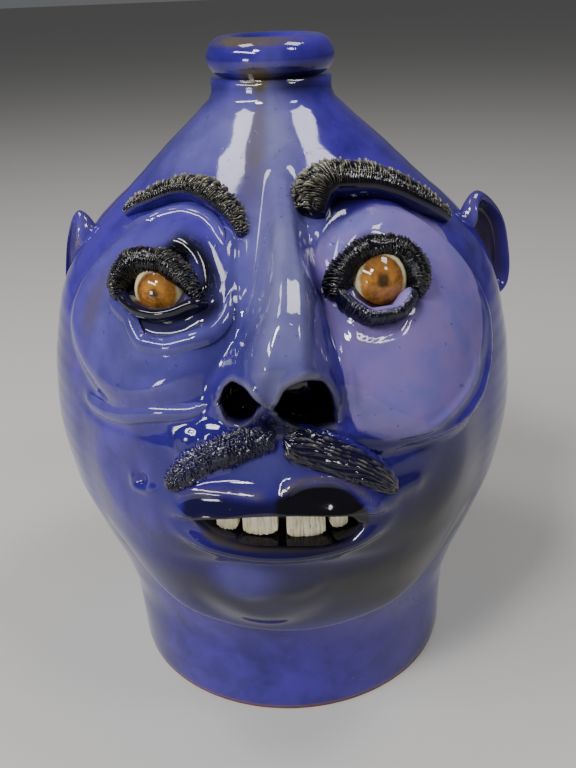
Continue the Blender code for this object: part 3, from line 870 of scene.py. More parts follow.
@dataclass(frozen=True)
class ToothClay:
    """Cream white clay with fine dark upright cracks."""

    cream: Triple = (252, 247, 218)
    shade: Triple = (238, 226, 184)
    crack: Triple = (66, 54, 44)
    roughness: float = 0.42

    def build(self) -> bpy.types.Material:
        """Makes the clay's material.

        Returns:
            The material.
        """
        graph = Graph("white_clay")
        place = graph.place()
        upright = graph.node("ShaderNodeMapping", {}, {"Vector": place, "Scale": (1, 1, 0.12)})
        streak = graph.noise(upright, 1100, 3, 0.4)
        cloud = graph.noise(place, 260, 3)
        colour = graph.blend(cloud.step(0.35, 0.7), linear(*self.cream), linear(*self.shade))
        crack = (1 - streak.step(0.27, 0.33)) * 0.7
        groove = graph.attribute("groove")
        colour = graph.blend((crack + groove * 0.2).clamp(), colour, linear(*self.crack))
        normal = graph.bump(streak, 0.3 * MM, 0.6)
        return graph.finish(Base_Color=colour, Roughness=self.roughness, Normal=normal)


@dataclass(frozen=True)
class FloorFinish:
    """Plain pale floor."""

    colour: Triple = (188, 186, 182)
    roughness: float = 0.75

    def build(self) -> bpy.types.Material:
        """Makes the floor's material."""
        graph = Graph("pale_floor")
        return graph.finish(Base_Color=linear(*self.colour), Roughness=self.roughness)


def set_points(mesh: bmesh.types.BMesh, points: Array) -> None:
    """Moves every vertex of a bmesh to its row of points."""
    for vertex, point in zip(mesh.verts, points):
        vertex.co = point


def get_points(mesh: bmesh.types.BMesh) -> Array:
    """One row of coordinates for every vertex of a bmesh."""
    return np.array([vertex.co for vertex in mesh.verts])


def rough_noise(points: Array, scale: float, seed: float = 0.0) -> Array:
    """Noise about 0 at each point, with scale in cells a metre."""
    offset = Vector((seed, 2 * seed, -seed))
    return np.array([noise.noise(Vector(point) * scale + offset) for point in points])


def add_object(name: str, data: bpy.types.ID) -> bpy.types.Object:
    """Adds an object to the scene.

    Args:
        name: the object's name.
        data: its mesh, light or camera.

    Returns:
        The object.
    """
    item = bpy.data.objects.new(name, data)
    bpy.context.scene.collection.objects.link(item)
    return item


def mesh_object(name: str, mesh: bmesh.types.BMesh,
                finish: bpy.types.Material) -> bpy.types.Object:
    """Turns a bmesh into an object with one material.

    Args:
        name: the object's name.
        mesh: its shape, in place.
        finish: its material.

    Returns:
        The object.
    """
    data = bpy.data.meshes.new(name)
    mesh.to_mesh(data)
    mesh.free()
    data.materials.append(finish)
    return add_object(name, data)


def finish_piece(name: str, mesh: bmesh.types.BMesh, finish: bpy.types.Material,
                 masks: dict[str, Array] | None = None) -> bpy.types.Object:
    """Turns a bmesh into a finished piece that rides with the jug.

    Args:
        name: the piece's name.
        mesh: its shape, in place.
        finish: its material.
        masks: numbers kept on its vertices for the material, by name.

    Returns:
        The piece.
    """
    piece = mesh_object(name, mesh, finish)
    for label, values in (masks or {}).items():
        layer = piece.data.attributes.new(label, "FLOAT", "POINT")
        layer.data.foreach_set("value", np.ascontiguousarray(values, dtype=np.float32))
    piece.data.shade_smooth()
    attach(piece, ROOT)
    LOG.info("%s: %d faces", name, len(piece.data.polygons))
    return piece


Mark = Callable[[Array, Array], Array]

# Ovals, strokes and patches of each tone of the glaze on the outside; much of it is painted light
# and shade, noted at each tone
GLAZE_MARKS: dict[str, tuple[Mark, ...]] = {
    # Pale: thin glaze, and painted sheen and highlights: on the forehead, nose and shoulders, the
    # left cheek, the philtrum, the chin's bumps and the right mound's edge
    "pale": (Hump(1, 205, 15, 34, 0.6, 0.7), Hump(0, 176, 5, 24, 0.4, 0.7),
             Hump(-38, 222, 34, 13, 0.5, 0.8), Hump(-2, 232, 30, 12, 0.35, 0.7),
             Hump(-35, 172, 20, 24, 0.4, 0.6), Hump(-9, 92.5, 5.5, 5.5, 0.7, 0.8),
             Hump(2, 92, 5.5, 5, 0.5, 0.8),
             Hump(-4, 134, 8, 5, 0.3, 0.8),
             Stroke(Path(((48, 192), (50, 181), (48, 173), (49.5, 165), (46, 155),
                          (40, 149), (32, 145.5))), 1.4, 0.6),
             Stroke(Path(((54, 186), (56, 172), (53, 160), (47, 150))), 1.6, 0.45)),
    # Mauve: a painted lavender sheen over the right eye's mound
    "mauve_sheen": (Pocket(
        Curve(((8.6, 187), (10, 170), (11.4, 152), (13, 142.5), (19.2, 137.5),
               (24, 138.4), (29, 140.2), (34.5, 143.2), (39.5, 147.2), (44.5, 154.5),
               (48, 165), (51, 178), (57, 190))),
        Curve(((8.6, 190), (13, 197), (19.2, 200.6), (28, 202), (36.5, 201),
               (50, 197.6), (57, 193))), 4.0),),
    "thin": (Hump(-14, 241.5, 17, 4, 0.95, 0.5), Hump(-10, 222, 6, 15, 0.6, 0.7),
             Hump(-46, 173, 3, 9, 0.5, 0.7), Hump(2, 158, 3, 4, 0.3, 0.8),
             Hump(3, 144, 4, 3, 0.6, 0.7),
             Stroke(Path(((-16, 112.4), (-13, 110.4), (-6, 108), (3, 107.6),
                          (10, 109))), 0.7, 0.8),
             Stroke(Path(((-1.6, 127.4), (0.5, 129.6), (4, 130.8), (8, 130),
                          (11.4, 127.4), (14.4, 123.4))), 0.9, 0.6),
             Stroke(Path(((-19, 125), (-13.8, 127.6), (-7.8, 128.4), (-3, 128))), 0.8,
                    0.35),
             Hump(-22, 252.8, 45, 1.7, 0.95, 0.6)),
    # Pooled: painted shade beside the bridge, on the chin and right jaw, by the mouth's corners,
    # on the lip's front and under the lower lip
    "pool_and_shade": (Hump(7.5, 187.5, 2.6, 7.5, 1.0, 0.4, 0.0, 20),
             Hump(14, 100, 42, 30, 0.9, 0.6), Hump(27, 126, 9, 12, 0.6, 0.6),
             Hump(-6, 82, 34, 12, 0.7, 0.6), Hump(-8, 124.4, 11, 3, 0.9, 0.4),
             Hump(-31, 124, 8, 12, 0.4, 0.7), Hump(-2, 97, 17, 5, 0.6, 0.6)),
    # Black: painted shade on the neck under the rolled lip, in the eye sockets, under the right
    # brow, under the nose and the right cheek, round the mouth, on the chin, the left jaw and the
    # right side; dark round the left eye; the last oval takes it off the chin's left bump
    "black_glaze_and_shade": (Hump(25, 240.5, 25, 4.5, 0.8, 0.5), Hump(-29, 182.5, 8.5, 9, 1, 0.25),
              Hump(2, 80, 30, 13, 0.75, 0.6), Hump(-22, 94, 14, 12, 0.4, 0.7),
              Hump(23.8, 182.5, 9, 10.5, 1, 0.25),
              Stroke(Path(((13, 201.4), (20, 204.2), (33, 205), (43, 203),
                           (51, 199.2), (59, 193))), 4.2, 0.95),
              Stroke(Path(((-29, 192.5), (-22, 191.4), (-17.8, 188), (-16.2, 184),
                           (-16.8, 180))), 3.4, 1.0),
              Stroke(Path(((-31, 172.5), (-27.5, 171.4), (-22.5, 171.4), (-17.5, 174),
                           (-14.6, 177), (-12.8, 181))), 2.0, 0.75),
              Hump(-1.8, 146.5, 8, 3.2, 0.6, 0.7), Hump(15, 137, 9, 4, 0.5, 0.8),
              Hump(-2.4, 151, 1.8, 5, 0.45, 0.7), Hump(16, 103, 26, 15, 0.5, 0.8),
              Hump(-3, 104.5, 20, 5, 0.4, 0.6), Hump(38, 92, 20, 34, 0.55, 0.7),
              Hump(-9.5, 92.5, 6, 6, -0.7, 0.6)),
}


@dataclass
class JugBody:
    """The glazed wall with the face, hollow, from its bare foot to the rolled lip."""

    face: Face
    round_steps: int = 336
    front_density: float = 0.4
    ring_gap: Curve = Curve(((0, 2.8), (55, 2.6), (64, 1.1), (96, 1.1), (107, 0.55), (127, 0.55),
                             (136, 0.75), (146, 0.55), (163, 0.6), (174, 0.75), (206, 0.9),
                             (218, 2.4), (240, 2.8)))
    cavity_rings: int = 24
    lip_steps: int = 18
    lip_start: float = -75
    lip_sweep: float = 240
    rim_level: float = 238
    shade_step: float = 1.5
    throwing_height: float = 0.04
    throwing_pitch: float = 6.5

    def outer_levels(self) -> list[float]:
        """Levels of the wall's rings, closest together over the mouth and the nose.

        Returns:
            Heights in metres, from the foot to the underside of the lip.
        """
        levels = [0.0]
        while levels[-1] < self.face.wall.top():
            levels.append(levels[-1] + float(self.ring_gap(levels[-1] / FACE)) * FACE)
        levels[-1] = self.face.wall.top()
        return levels

    def profile(self) -> list[tuple[float, float]]:
        """Whole half section of the thrown jug.

        Returns:
            Radius and height of each point, up the outside, over the lip, and down the inside.
        """
        wall = self.face.wall
        edge = wall.foot_edge
        points = [(0.0, 0.0), (wall.foot_radius * 0.5, 0.0), (wall.foot_radius - edge, 0.0)]
        points.append((wall.foot_radius - edge * 0.3, edge * 0.3))
        for z in self.outer_levels()[1:]:
            points.append((float(wall.radius(z)), z))
        centre = (wall.lip_radius - wall.lip_roll, HEIGHT - wall.lip_roll)
        for step in range(self.lip_steps + 1):
            turn = math.radians(self.lip_start + self.lip_sweep * step / self.lip_steps)
            points.append((centre[0] + wall.lip_roll * math.cos(turn),
                           centre[1] + wall.lip_roll * math.sin(turn)))
        inner_top = HEIGHT - 2 * wall.lip_roll
        for ring in range(self.cavity_rings + 1):
            z = inner_top + (wall.floor - inner_top) * ring / self.cavity_rings
            out = float(wall.normal(max(z, MM))[0])
            radius = max(wall.bore_radius, float(wall.radius(z)) - wall.thickness / max(out, 0.6))
            points.append((radius, z))
        points.append((0.0, wall.floor))
        return points

    def build(self, finish: bpy.types.Material) -> bpy.types.Object:
        """Turns the wall, models the face on it, and paints its masks.

        Args:
            finish: the glaze.

        Returns:
            The piece.
        """
        mesh = bmesh.new()
        verts = [mesh.verts.new((0, -radius, z)) for radius, z in self.profile()]
        edges = [mesh.edges.new(pair) for pair in zip(verts, verts[1:])]
        bmesh.ops.spin(mesh, geom=verts + edges, cent=(0, 0, 0), axis=(0, 0, 1),
                       angle=math.tau, steps=self.round_steps, use_merge=True)
        bmesh.ops.remove_doubles(mesh, verts=mesh.verts, dist=0.01 * MM)
        bmesh.ops.recalc_face_normals(mesh, faces=mesh.faces)
        points = get_points(mesh)
        radius = np.hypot(points[:, 0], points[:, 1])
        even = np.arctan2(points[:, 0], -points[:, 1]) / math.pi
        azimuth = 180 * (self.front_density * even + (1 - self.front_density) * even ** 3)
        z = points[:, 2]
        top = self.face.wall.top()
        outer = (z > 0) & (z < top) & (np.abs(radius - self.face.wall.radius(z)) < 0.05 * MM)
        angle = np.radians(azimuth)
        points[:, 0] = radius * np.sin(angle)
        points[:, 1] = -radius * np.cos(angle)
        level = z / FACE
        level[outer] = self.face.settled(azimuth[outer], level[outer])
        lift = self.hand_marks(azimuth[outer], level[outer])
        points[outer] = self.face.skin(azimuth[outer], level[outer], lift, open_forms=True)
        set_points(mesh, points)
        masks = self.masks(azimuth, level, outer, points)
        piece = finish_piece("glazed_body", mesh, finish, masks)
        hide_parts("jug_body")
        return piece

    def hand_marks(self, azimuth: Array, level: Array) -> Array:
        """Throwing rings, which the face covers, and slight dents.

        Args:
            azimuth: degrees from the front, to +X.
            level: level on the wall, in face millimetres.

        Returns:
            Heights about 0, in face millimetres.
        """
        rings = np.sin(level / self.throwing_pitch * math.tau + np.radians(azimuth) * 0.6)
        plain = ramp(35, 75, np.abs(azimuth)) * ramp(2, 20, level)
        return rings * self.throwing_height * plain + self.face.dents(azimuth, level)

    def shades(self, azimuth: Array, level: Array, convex: Array) -> dict[str, Array]:
        """Where the glaze on the outside is pale, mauve, thin, pooled or black, painted sheen and
        shade among them.

        Args:
            azimuth: degrees from the front, to +X.
            level: level on the wall, in face millimetres.
            convex: how far each place stands above those around it, in face millimetres.

        Returns:
            Strength of each shade, by its name.
        """
        face = self.face
        made = {name: sum(mark(azimuth, level) for mark in group)
                for name, group in GLAZE_MARKS.items()}
        # Ridges are tan and pale where the glaze runs thin, the pale also a painted highlight
        # along them; hollows are deeper where the glaze pools
        made["thin"] = made["thin"] + ramp(0.3, 1.0, convex) * 0.3
        made["pale"] = made["pale"] + ramp(0.2, 0.8, convex) * 0.4
        made["pool_and_shade"] = made["pool_and_shade"] + ramp(0.25, 1.2, -convex)
        # The upper lip's front, the open mouth and the nostrils are painted black, as painted
        # shade, and the openings lose their tan
        lip = face.lip_front_shade(azimuth, level) * (0.8 + 0.2 * ramp(-2.4, -1.4, azimuth))
        openings = ramp(0.3, 2.5, face.openings(azimuth, level))
        made["black_glaze_and_shade"] = made["black_glaze_and_shade"] + lip + openings
        made["thin"] = made["thin"] * (1 - openings)
        return {name: np.clip(value, 0, 1) for name, value in made.items()}

    def masks(self, azimuth: Array, level: Array, outer: Array,
              points: Array) -> dict[str, Array]:
        """Shades of glaze, painted sheen and shade among them, and where the clay is bare.

        Args:
            azimuth: degrees from the front, to +X.
            level: level on the wall, in face millimetres.
            outer: whether each vertex is on the outside, under the lip.
            points: where each vertex is, in metres.

        Returns:
            Strength of each mask on every vertex, by its name.
        """
        face = self.face
        step = self.shade_step
        here = face.relief(azimuth, level)[0]
        around = sum(face.relief(azimuth + a / DEGREE, level + u)[0]
                     for a, u in ((step, 0), (-step, 0), (0, step), (0, -step))) / 4
        shades = self.shades(azimuth, level, np.where(outer, here - around, 0))
        rim = level > self.rim_level
        kept = {name: np.where(outer | rim, value, 0) for name, value in shades.items()}
        inside = ~outer & ~rim & (level > 1) & (np.hypot(points[:, 0], points[:, 1]) > MM)
        bare = np.where(outer | rim, 1 - ramp(1.2, 2.6, level), 1.0)
        return {**kept, "bare": np.where(inside, 0.7, bare)}


class Hatch(Enum):
    """How a rolled coil is scratched: across it, along it, in dots, or not at all."""

    ACROSS = "across"
    ALONG = "along"
    STIPPLED = "stippled"
    PLAIN = "plain"


@dataclass(frozen=True)
class Coil:
    """Rolled strip of clay pressed on the face, hatched with hair strokes.

    Sides are read from -1, the coil's lower edge, to 1, its upper edge. Strokes lie between
    under and glazed_above, a smooth strip lies past glazed_above, and an edge above 1 thins
    the coil out into the face at both sides.
    """

    name: str
    path: Path
    half_width: Curve
    proud: Curve
    hatch: Hatch
    strokes: float = 1
    depth: float = 0.0
    lift: float = 1.0
    lean: float = 0.0
    slant: float = 0.0
    seed: float = 0.0
    black_glaze_and_shade: float = 1.0
    worn_and_glint: float = 1.0
    fringe: float = 0.0
    edge: float = 1.0
    under: float = -1.4
    glazed_above: float = 1.4
    strip: float = 0.25
    soft_under: float = 0.0
    tint: tuple[tuple[str, float], ...] = ()
    steps: int = 420
    sides: int = 44

    def frames(self, face: Face, share: Array) -> tuple[Array, Array, Array]:
        """The coil's middle line and its directions.

        Args:
            face: the face that carries the coil.
            share: shares of the way along the coil.

        Returns:
            Points on the middle line, and the directions off the face and across the coil.
        """
        step = 0.01
        middle, ahead, behind = (
            face.skin(*place, self.lift + face.dents(*place))
            for place in (self.path(np.clip(share + away, 0, 1)) for away in (0, step, -step)))
        along = ahead - behind
        along /= np.linalg.norm(along, axis=1, keepdims=True)
        outward = face.normal(*self.path(share))
        outward -= along * np.sum(outward * along, axis=1, keepdims=True)
        outward /= np.linalg.norm(outward, axis=1, keepdims=True)
        stations = self.path.stations
        across = np.cross(outward, along) * (1 if stations[-1][0] > stations[0][0] else -1)
        tip = math.radians(self.lean)
        high = outward * math.cos(tip) - across * math.sin(tip)
        wide = across * math.cos(tip) + outward * math.sin(tip)
        return middle, high, wide

    def relief(self, share: Array, turn: Array) -> Array:
        """Hair strokes over the coil.

        Args:
            share: shares of the way along the coil.
            turn: angles round the coil, from 0 at its upper edge.

        Returns:
            How far up a stroke each point is, from 0 in a groove to 1 on a ridge.
        """
        if self.hatch is Hatch.PLAIN:
            return np.full_like(share, 0.5)
        length, round_ = (30, 0.9) if self.hatch is Hatch.ACROSS else (3.5, 1.2)
        jitter, fine = (
            np.array([noise.noise(Vector((s * along + self.seed, t * wide, self.seed)))
                      for s, t in zip(share, turn)])
            for along, wide in ((length, round_), (length * 4, round_ * 2.6)))
        if self.hatch is Hatch.ACROSS:
            phase = share * self.strokes + turn * self.slant + jitter * 1.1
        else:
            phase = turn / math.tau * self.strokes + share * self.slant + jitter * 1.1
        wave = 0.5 + 0.5 * np.cos(phase * math.tau)
        if self.hatch is Hatch.STIPPLED:
            dots = 0.5 + 0.5 * np.cos((share * self.strokes * 0.9 + fine * 3) * math.tau)
            return wave * dots ** 0.7
        return wave ** 1.6 * np.clip(0.8 + 0.9 * fine, 0, 1.3)

    def build(self, face: Face, finish: bpy.types.Material) -> bpy.types.Object:
        """Wraps a grid round the coil's line and closes its seam and ends.

        Args:
            face: the face that carries the coil.
            finish: the glaze.

        Returns:
            The piece.
        """
        mesh = bmesh.new()
        bmesh.ops.create_grid(mesh, x_segments=self.steps, y_segments=self.sides, size=0.5)
        flat = get_points(mesh) + 0.5
        share = np.clip(flat[:, 0], 0, 1)
        turn = flat[:, 1] * math.tau
        middle, high, wide = self.frames(face, share)
        ridge = self.relief(share, turn)
        side = np.cos(turn)
        soft = 0.25
        above = ramp(self.glazed_above - soft, self.glazed_above + soft, side)
        hatched = ramp(self.under - soft, self.under + soft, side) * (1 - above)
        if self.hatch is Hatch.PLAIN:
            hatched = np.zeros_like(side)
        depth = (ridge - 0.5) * self.depth * hatched
        depth += ridge ** 2 * self.fringe * ramp(0.3, 1, side)
        end = 0.02 if self.edge == 1 else 0.09
        closing = (ramp(0, end, share) * (1 - ramp(1 - end, 1, share))) ** 0.5
        width = (self.half_width(share) + depth) * FACE * closing
        height = (self.proud(share) + depth) * FACE * closing
        rise = np.sin(turn) * np.abs(np.sin(turn)) ** (self.edge - 1)
        points = (middle + wide * (width * side)[:, None] + high * (height * rise)[:, None])
        set_points(mesh, points)
        border = ramp(0.82, 1.0, np.abs(side) + (ridge - 0.5) * 0.2) * (self.edge > 1)
        smooth = 1 - (1 - self.strip) * above
        smooth *= 1 - self.soft_under * ramp(0.25, 0.85, -side)
        # The stroke tips are painted lighter towards the coil's upper side, as painted highlight
        # where the light falls
        masks = {"black_glaze_and_shade": self.black_glaze_and_shade * smooth * (1 - border),
                 "worn_and_glint": (self.worn_and_glint * ramp(0.55, 1.15, ridge) * hatched * (1 - border)
                          * (0.25 + 0.75 * ramp(-0.3, 0.8, side)))}
        masks.update({name: (1 - hatched) * amount for name, amount in self.tint})
        layers = {name: mesh.verts.layers.float.new(name) for name in masks}
        for name, layer in layers.items():
            for vertex, value in zip(mesh.verts, masks[name]):
                vertex[layer] = value
        bmesh.ops.remove_doubles(mesh, verts=mesh.verts, dist=0.002 * MM)
        bmesh.ops.recalc_face_normals(mesh, faces=mesh.faces)
        return finish_piece(self.name, mesh, finish)


TAPER = Curve(((0, 0.5), (0.12, 1), (0.85, 1), (1, 0.4)))


@dataclass
class Hair:
    """Brows, lashes and moustache: hatched coils under black glaze."""

    face: Face
    brow_width: Curve = Curve(((0, 4.5), (0.12, 6.5), (0.35, 6.2), (0.7, 5.2), (1, 1.8)))
    brow_height: Curve = Curve(((0, 3), (0.15, 6.5), (0.5, 7), (0.85, 5), (1, 1.5)))
    brow_left_width: Curve = Curve(((0, 1.5), (0.15, 3.2), (0.4, 4.2), (0.7, 3.8), (1, 1.5)))
    brow_left_height: Curve = Curve(((0, 1.5), (0.2, 4.5), (0.5, 6), (0.85, 4.5), (1, 1.5)))
    lash_right_width: Curve = Curve(((0, 2), (0.12, 4.5), (0.3, 4.1), (0.45, 4.1), (0.68, 4.8),
                                     (0.85, 3.8), (1, 1.6)))
    lash_left_width: Curve = Curve(((0, 1.4), (0.15, 3.6), (0.35, 4.9), (0.6, 4.1),
                                    (0.85, 2.6), (1, 1.2)))
    wing_right_width: Curve = Curve(((0, 5.8), (0.2, 6.9), (0.45, 7.0), (0.75, 5.6), (1, 1.6)))
    wing_left_width: Curve = Curve(((0, 5.6), (0.25, 6.0), (0.6, 5.6), (0.85, 3.9), (1, 1.3)))
    wing_height: Curve = Curve(((0, 2.8), (0.3, 3.6), (0.7, 3.3), (1, 1.2)))

    def coils(self) -> list[Coil]:
        """Every hair coil, by its place on the face.

        Returns:
            Brows, lashes and the moustache's wings, ready to be made.
        """
        brow_right = Path(((11.5, 201), (14, 207), (22, 209.5), (35, 208), (47, 203.5),
                           (56, 197), (62, 191.5)))
        brow_left = Path(((-10.5, 197), (-13.5, 201), (-18.5, 204.5), (-25, 207), (-32, 208.2),
                          (-40, 207.3), (-48, 204.5), (-55, 201.5), (-61, 198)))
        lash_right = Path(((11.5, 178.8), (13.8, 183.9), (17.4, 187.3), (21.5, 188.6),
                           (26.3, 188.1), (30, 185.9), (31, 182.3), (30.3, 179),
                           (28.9, 176.3)))
        lash_left = Path(((-36.5, 176.2), (-38, 180.8), (-37.3, 184.6), (-33.2, 186.5),
                          (-28, 186.7), (-23.4, 185), (-19.8, 182.4), (-16.8, 179)))
        wing_right = Path(((-0.5, 142.6), (2.9, 140.2), (6.2, 137.6), (10.2, 133.9),
                           (13.5, 130.5), (17, 126), (20.4, 120.5)))
        wing_left = Path(((-2, 145.2), (-4.8, 143), (-7.9, 141), (-11.5, 138.6),
                          (-15, 135.2), (-18.1, 131), (-20.4, 127.4), (-22, 124)))
        return [
            Coil("brow_right", brow_right, self.brow_width, self.brow_height, Hatch.ACROSS,
                 strokes=88, depth=0.8, lift=1.5, lean=28, slant=0.2, seed=1, worn_and_glint=0.9,
                 fringe=0.8, under=-0.05, soft_under=0.3, steps=640),
            Coil("brow_left", brow_left, self.brow_left_width, self.brow_left_height,
                 Hatch.ACROSS, strokes=88, depth=0.8, lift=1, lean=24, slant=-0.2, seed=2,
                 worn_and_glint=0.9, fringe=0.8, under=-0.3, soft_under=0.75, steps=640),
            Coil("lash_right", lash_right, self.lash_right_width, TAPER.scaled(6),
                 Hatch.ACROSS, strokes=66, depth=0.55, lift=1.4, slant=0.1, seed=3, worn_and_glint=0.25,
                 fringe=0.5, steps=520),
            Coil("lash_left", lash_left, self.lash_left_width, TAPER.scaled(6), Hatch.ACROSS,
                 strokes=60, depth=0.55, lift=1.4, lean=12, slant=0.1, seed=4, worn_and_glint=0.35,
                 fringe=0.5, steps=520),
            Coil("moustache_right", wing_right, self.wing_right_width, self.wing_height,
                 Hatch.ALONG, strokes=28, depth=1.2, lift=0.3, slant=4, seed=5, black_glaze_and_shade=0.9,
                 worn_and_glint=0.55, edge=1.7, sides=104, steps=240),
            Coil("moustache_left", wing_left, self.wing_left_width, self.wing_height,
                 Hatch.STIPPLED, strokes=28, depth=1.6, lift=0.3, slant=-2, seed=6, black_glaze_and_shade=0.8,
                 worn_and_glint=0.4, edge=1.7, sides=80, steps=300),
        ]

    def build(self, finish: bpy.types.Material) -> list[bpy.types.Object]:
        """Makes every coil."""
        return [coil.build(self.face, finish) for coil in self.coils()]


@dataclass
class Lids:
    """Smooth lower lids under the eyes."""

    face: Face

    def build(self, finish: bpy.types.Material) -> list[bpy.types.Object]:
        """Makes both lids, the right one with a strip along its upper edge painted pale and
        lavender, as painted sheen.

        Args:
            finish: the glaze.

        Returns:
            The pieces.
        """
        right = Path(((12.9, 180), (14.6, 176), (18.1, 173), (22.3, 172.9), (25.8, 175),
                      (28, 178)))
        left = Path(((-36.5, 178.5), (-32.5, 176), (-29, 174.7), (-25.5, 174.4), (-22, 175.3),
                     (-18.5, 177.4), (-15, 178.8)))
        made = []
        # The right lid's smooth strip carries the painted lavender sheen and pale; the left one
        # is tan and dark
        for name, path, width, hatch, strip, tint in (
                ("lid_right", right, 2.8, Hatch.ACROSS, 0.0, (("mauve_sheen", 0.9), ("pale", 0.6))),
                ("lid_left", left, 2.3, Hatch.PLAIN, 0.85, (("thin", 0.25),))):
            coil = Coil(name, path, TAPER.scaled(width), TAPER.scaled(4.6), hatch, strokes=44,
                        depth=0.5, lift=1.2, slant=0.1, black_glaze_and_shade=0.95, worn_and_glint=0.1,
                        glazed_above=0.5, strip=strip, tint=tint, steps=300, sides=36)
            made.append(coil.build(self.face, finish))
        return made


@dataclass
class Crests:
    """Sharp crests along the folds of the face, smoothed into it at both sides."""

    face: Face
    half_width: Curve = Curve(((0, 1.6), (0.2, 3.0), (0.8, 3.0), (1, 1.6)))
    proud: Curve = Curve(((0, 0.6), (0.2, 1.5), (0.8, 1.5), (1, 0.6)))
    paths: tuple[tuple[str, float, Path], ...] = (
        ("ledge_crest", 0.4, Path(((-58, 195), (-48, 196.6), (-42.5, 197.4), (-39.5, 199.6),
                                   (-32, 201.8), (-25, 201.2), (-20, 199), (-15, 194)))),
        ("saucer_crest", 0.5, Face.saucer),
        ("cheek_crest", 0.5, Path(((-49, 142.8), (-45, 142), (-39, 142.4), (-32, 144.4),
                                   (-28, 146.4), (-24, 147.8), (-18.2, 149), (-14, 152)))),
    )

    def build(self, finish: bpy.types.Material) -> list[bpy.types.Object]:
        """Makes every crest.

        Args:
            finish: the glaze.

        Returns:
            The pieces.
        """
        # The crests are tinted pale all over, as thin glaze and painted sheen along them
        return [Coil(name, path, self.half_width, self.proud, Hatch.PLAIN, lift=lift, black_glaze_and_shade=0,
                     worn_and_glint=0, edge=2.2, tint=(("pale", 0.3),), steps=300,
                     sides=28).build(self.face, finish)
                for name, lift, path in self.paths]


@dataclass
class Ear:
    """Cupped ear pressed on the side of the head, open to the front."""

    face: Face
    side: int
    outward_reach: float
    inward_reach: float
    low: tuple[float, float]
    high: tuple[float, float]
    hollow: float = 8.5
    deepest: float = 8.5
    tip: float = 2.0
    forward_turn: float = 0.6
    thickness: float = 6.5

    def build(self, finish: bpy.types.Material) -> bpy.types.Object:
        """Presses a ball into a cup and lays it along the side of the head.

        Args:
            finish: the glaze.

        Returns:
            The piece.
        """
        foot = Vector(self.face.skin(90 * self.side, *self.low))
        top = Vector(self.face.skin(90 * self.side, *self.high))
        upward = (top - foot).normalized()
        half_height = (top - foot).length / 2 + self.tip * FACE
        forward = Vector((self.forward_turn * self.side, -1, 0)).normalized()
        outward = forward.cross(upward) * -self.side
        mesh = bmesh.new()
        bmesh.ops.create_uvsphere(mesh, u_segments=96, v_segments=72, radius=1)
        ball = get_points(mesh)
        edge = np.hypot(ball[:, 0], ball[:, 1])
        front = ball[:, 2] > 0
        bowl = 1 - ramp(0.55, 0.9, np.hypot(ball[:, 0] - 0.1, ball[:, 1] * 0.95))
        fold = np.exp(-(((ball[:, 0] + 0.35) / 0.22) ** 2 + ((ball[:, 1] - 0.55) / 0.3) ** 2))
        depth = self.thickness * ball[:, 2]
        depth -= np.where(front, self.hollow * bowl - 3.0 * fold, 0)
        depth += rough_noise(ball, 1.6, self.side) * 0.6
        reach = np.where(ball[:, 0] > 0, self.outward_reach, self.inward_reach)
        wavy = 1 + 0.02 * np.sin(5 * np.arctan2(ball[:, 1], ball[:, 0]))
        middle = np.array((foot + top) / 2)
        points = (middle + np.outer(ball[:, 0] * reach * wavy * FACE, outward)
                  + np.outer(ball[:, 1] * half_height * wavy, upward)
                  + np.outer(depth * FACE, forward))
        set_points(mesh, points)
        bmesh.ops.recalc_face_normals(mesh, faces=mesh.faces)
        # The cup's hollow is painted in shade, tan, pooled and black, and the fold by the head is
        # painted pale, as a painted highlight; the rim is tan where the glaze runs thin
        rim = ramp(0.86, 0.97, edge)
        shade = np.where(front, bowl, 0) * self.hollow / self.deepest
        masks = {"thin": rim * 0.35 + shade * 0.65, "pool_and_shade": shade * 0.4, "black_glaze_and_shade": shade * 0.4,
                 "pale": np.where(front, fold, 0) * 0.7}
        name = "ear_right" if self.side > 0 else "ear_left"
        return finish_piece(name, mesh, finish, masks)


@dataclass
class Eye:
    """White clay ball with a painted iris, set in its socket and looking at the viewer."""

    node: str
    iris: float
    pupil: float
    narrow: float
    gaze_azimuth: float
    gaze_rise: float
    dome: float = 0.02

    def build(self) -> bpy.types.Object:
        """Makes the ball where the frame holds it, a little domed over the iris.

        Returns:
            The piece.
        """
        low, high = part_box(self.node)
        centre = (low + high) / 2
        radius = max(high - low) / 2
        azimuth, rise = math.radians(self.gaze_azimuth), math.radians(self.gaze_rise)
        gaze = Vector((math.sin(azimuth) * math.cos(rise), -math.cos(azimuth) * math.cos(rise),
                       math.sin(rise)))
        glaze = EyeGlaze(self.node + "_glaze", centre, gaze, radius, self.iris * FACE,
                         self.pupil * FACE, self.narrow)
        mesh = bmesh.new()
        bmesh.ops.create_uvsphere(mesh, u_segments=96, v_segments=64, radius=radius)
        points = get_points(mesh)
        facing = points @ np.array(gaze) / radius
        swell = 1 + self.dome * ramp(0.8, 1.0, facing)
        set_points(mesh, points * swell[:, None] + np.array(centre))
        piece = finish_piece(self.node + "_ball", mesh, glaze.build())
        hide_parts(self.node)
        return piece


@dataclass(frozen=True)
class Tooth:
    """One tooth of the row: gap before it, width, lower edge and height, in face millimetres."""

    node: str
    gap: float
    width: float
    low: float
    height: float


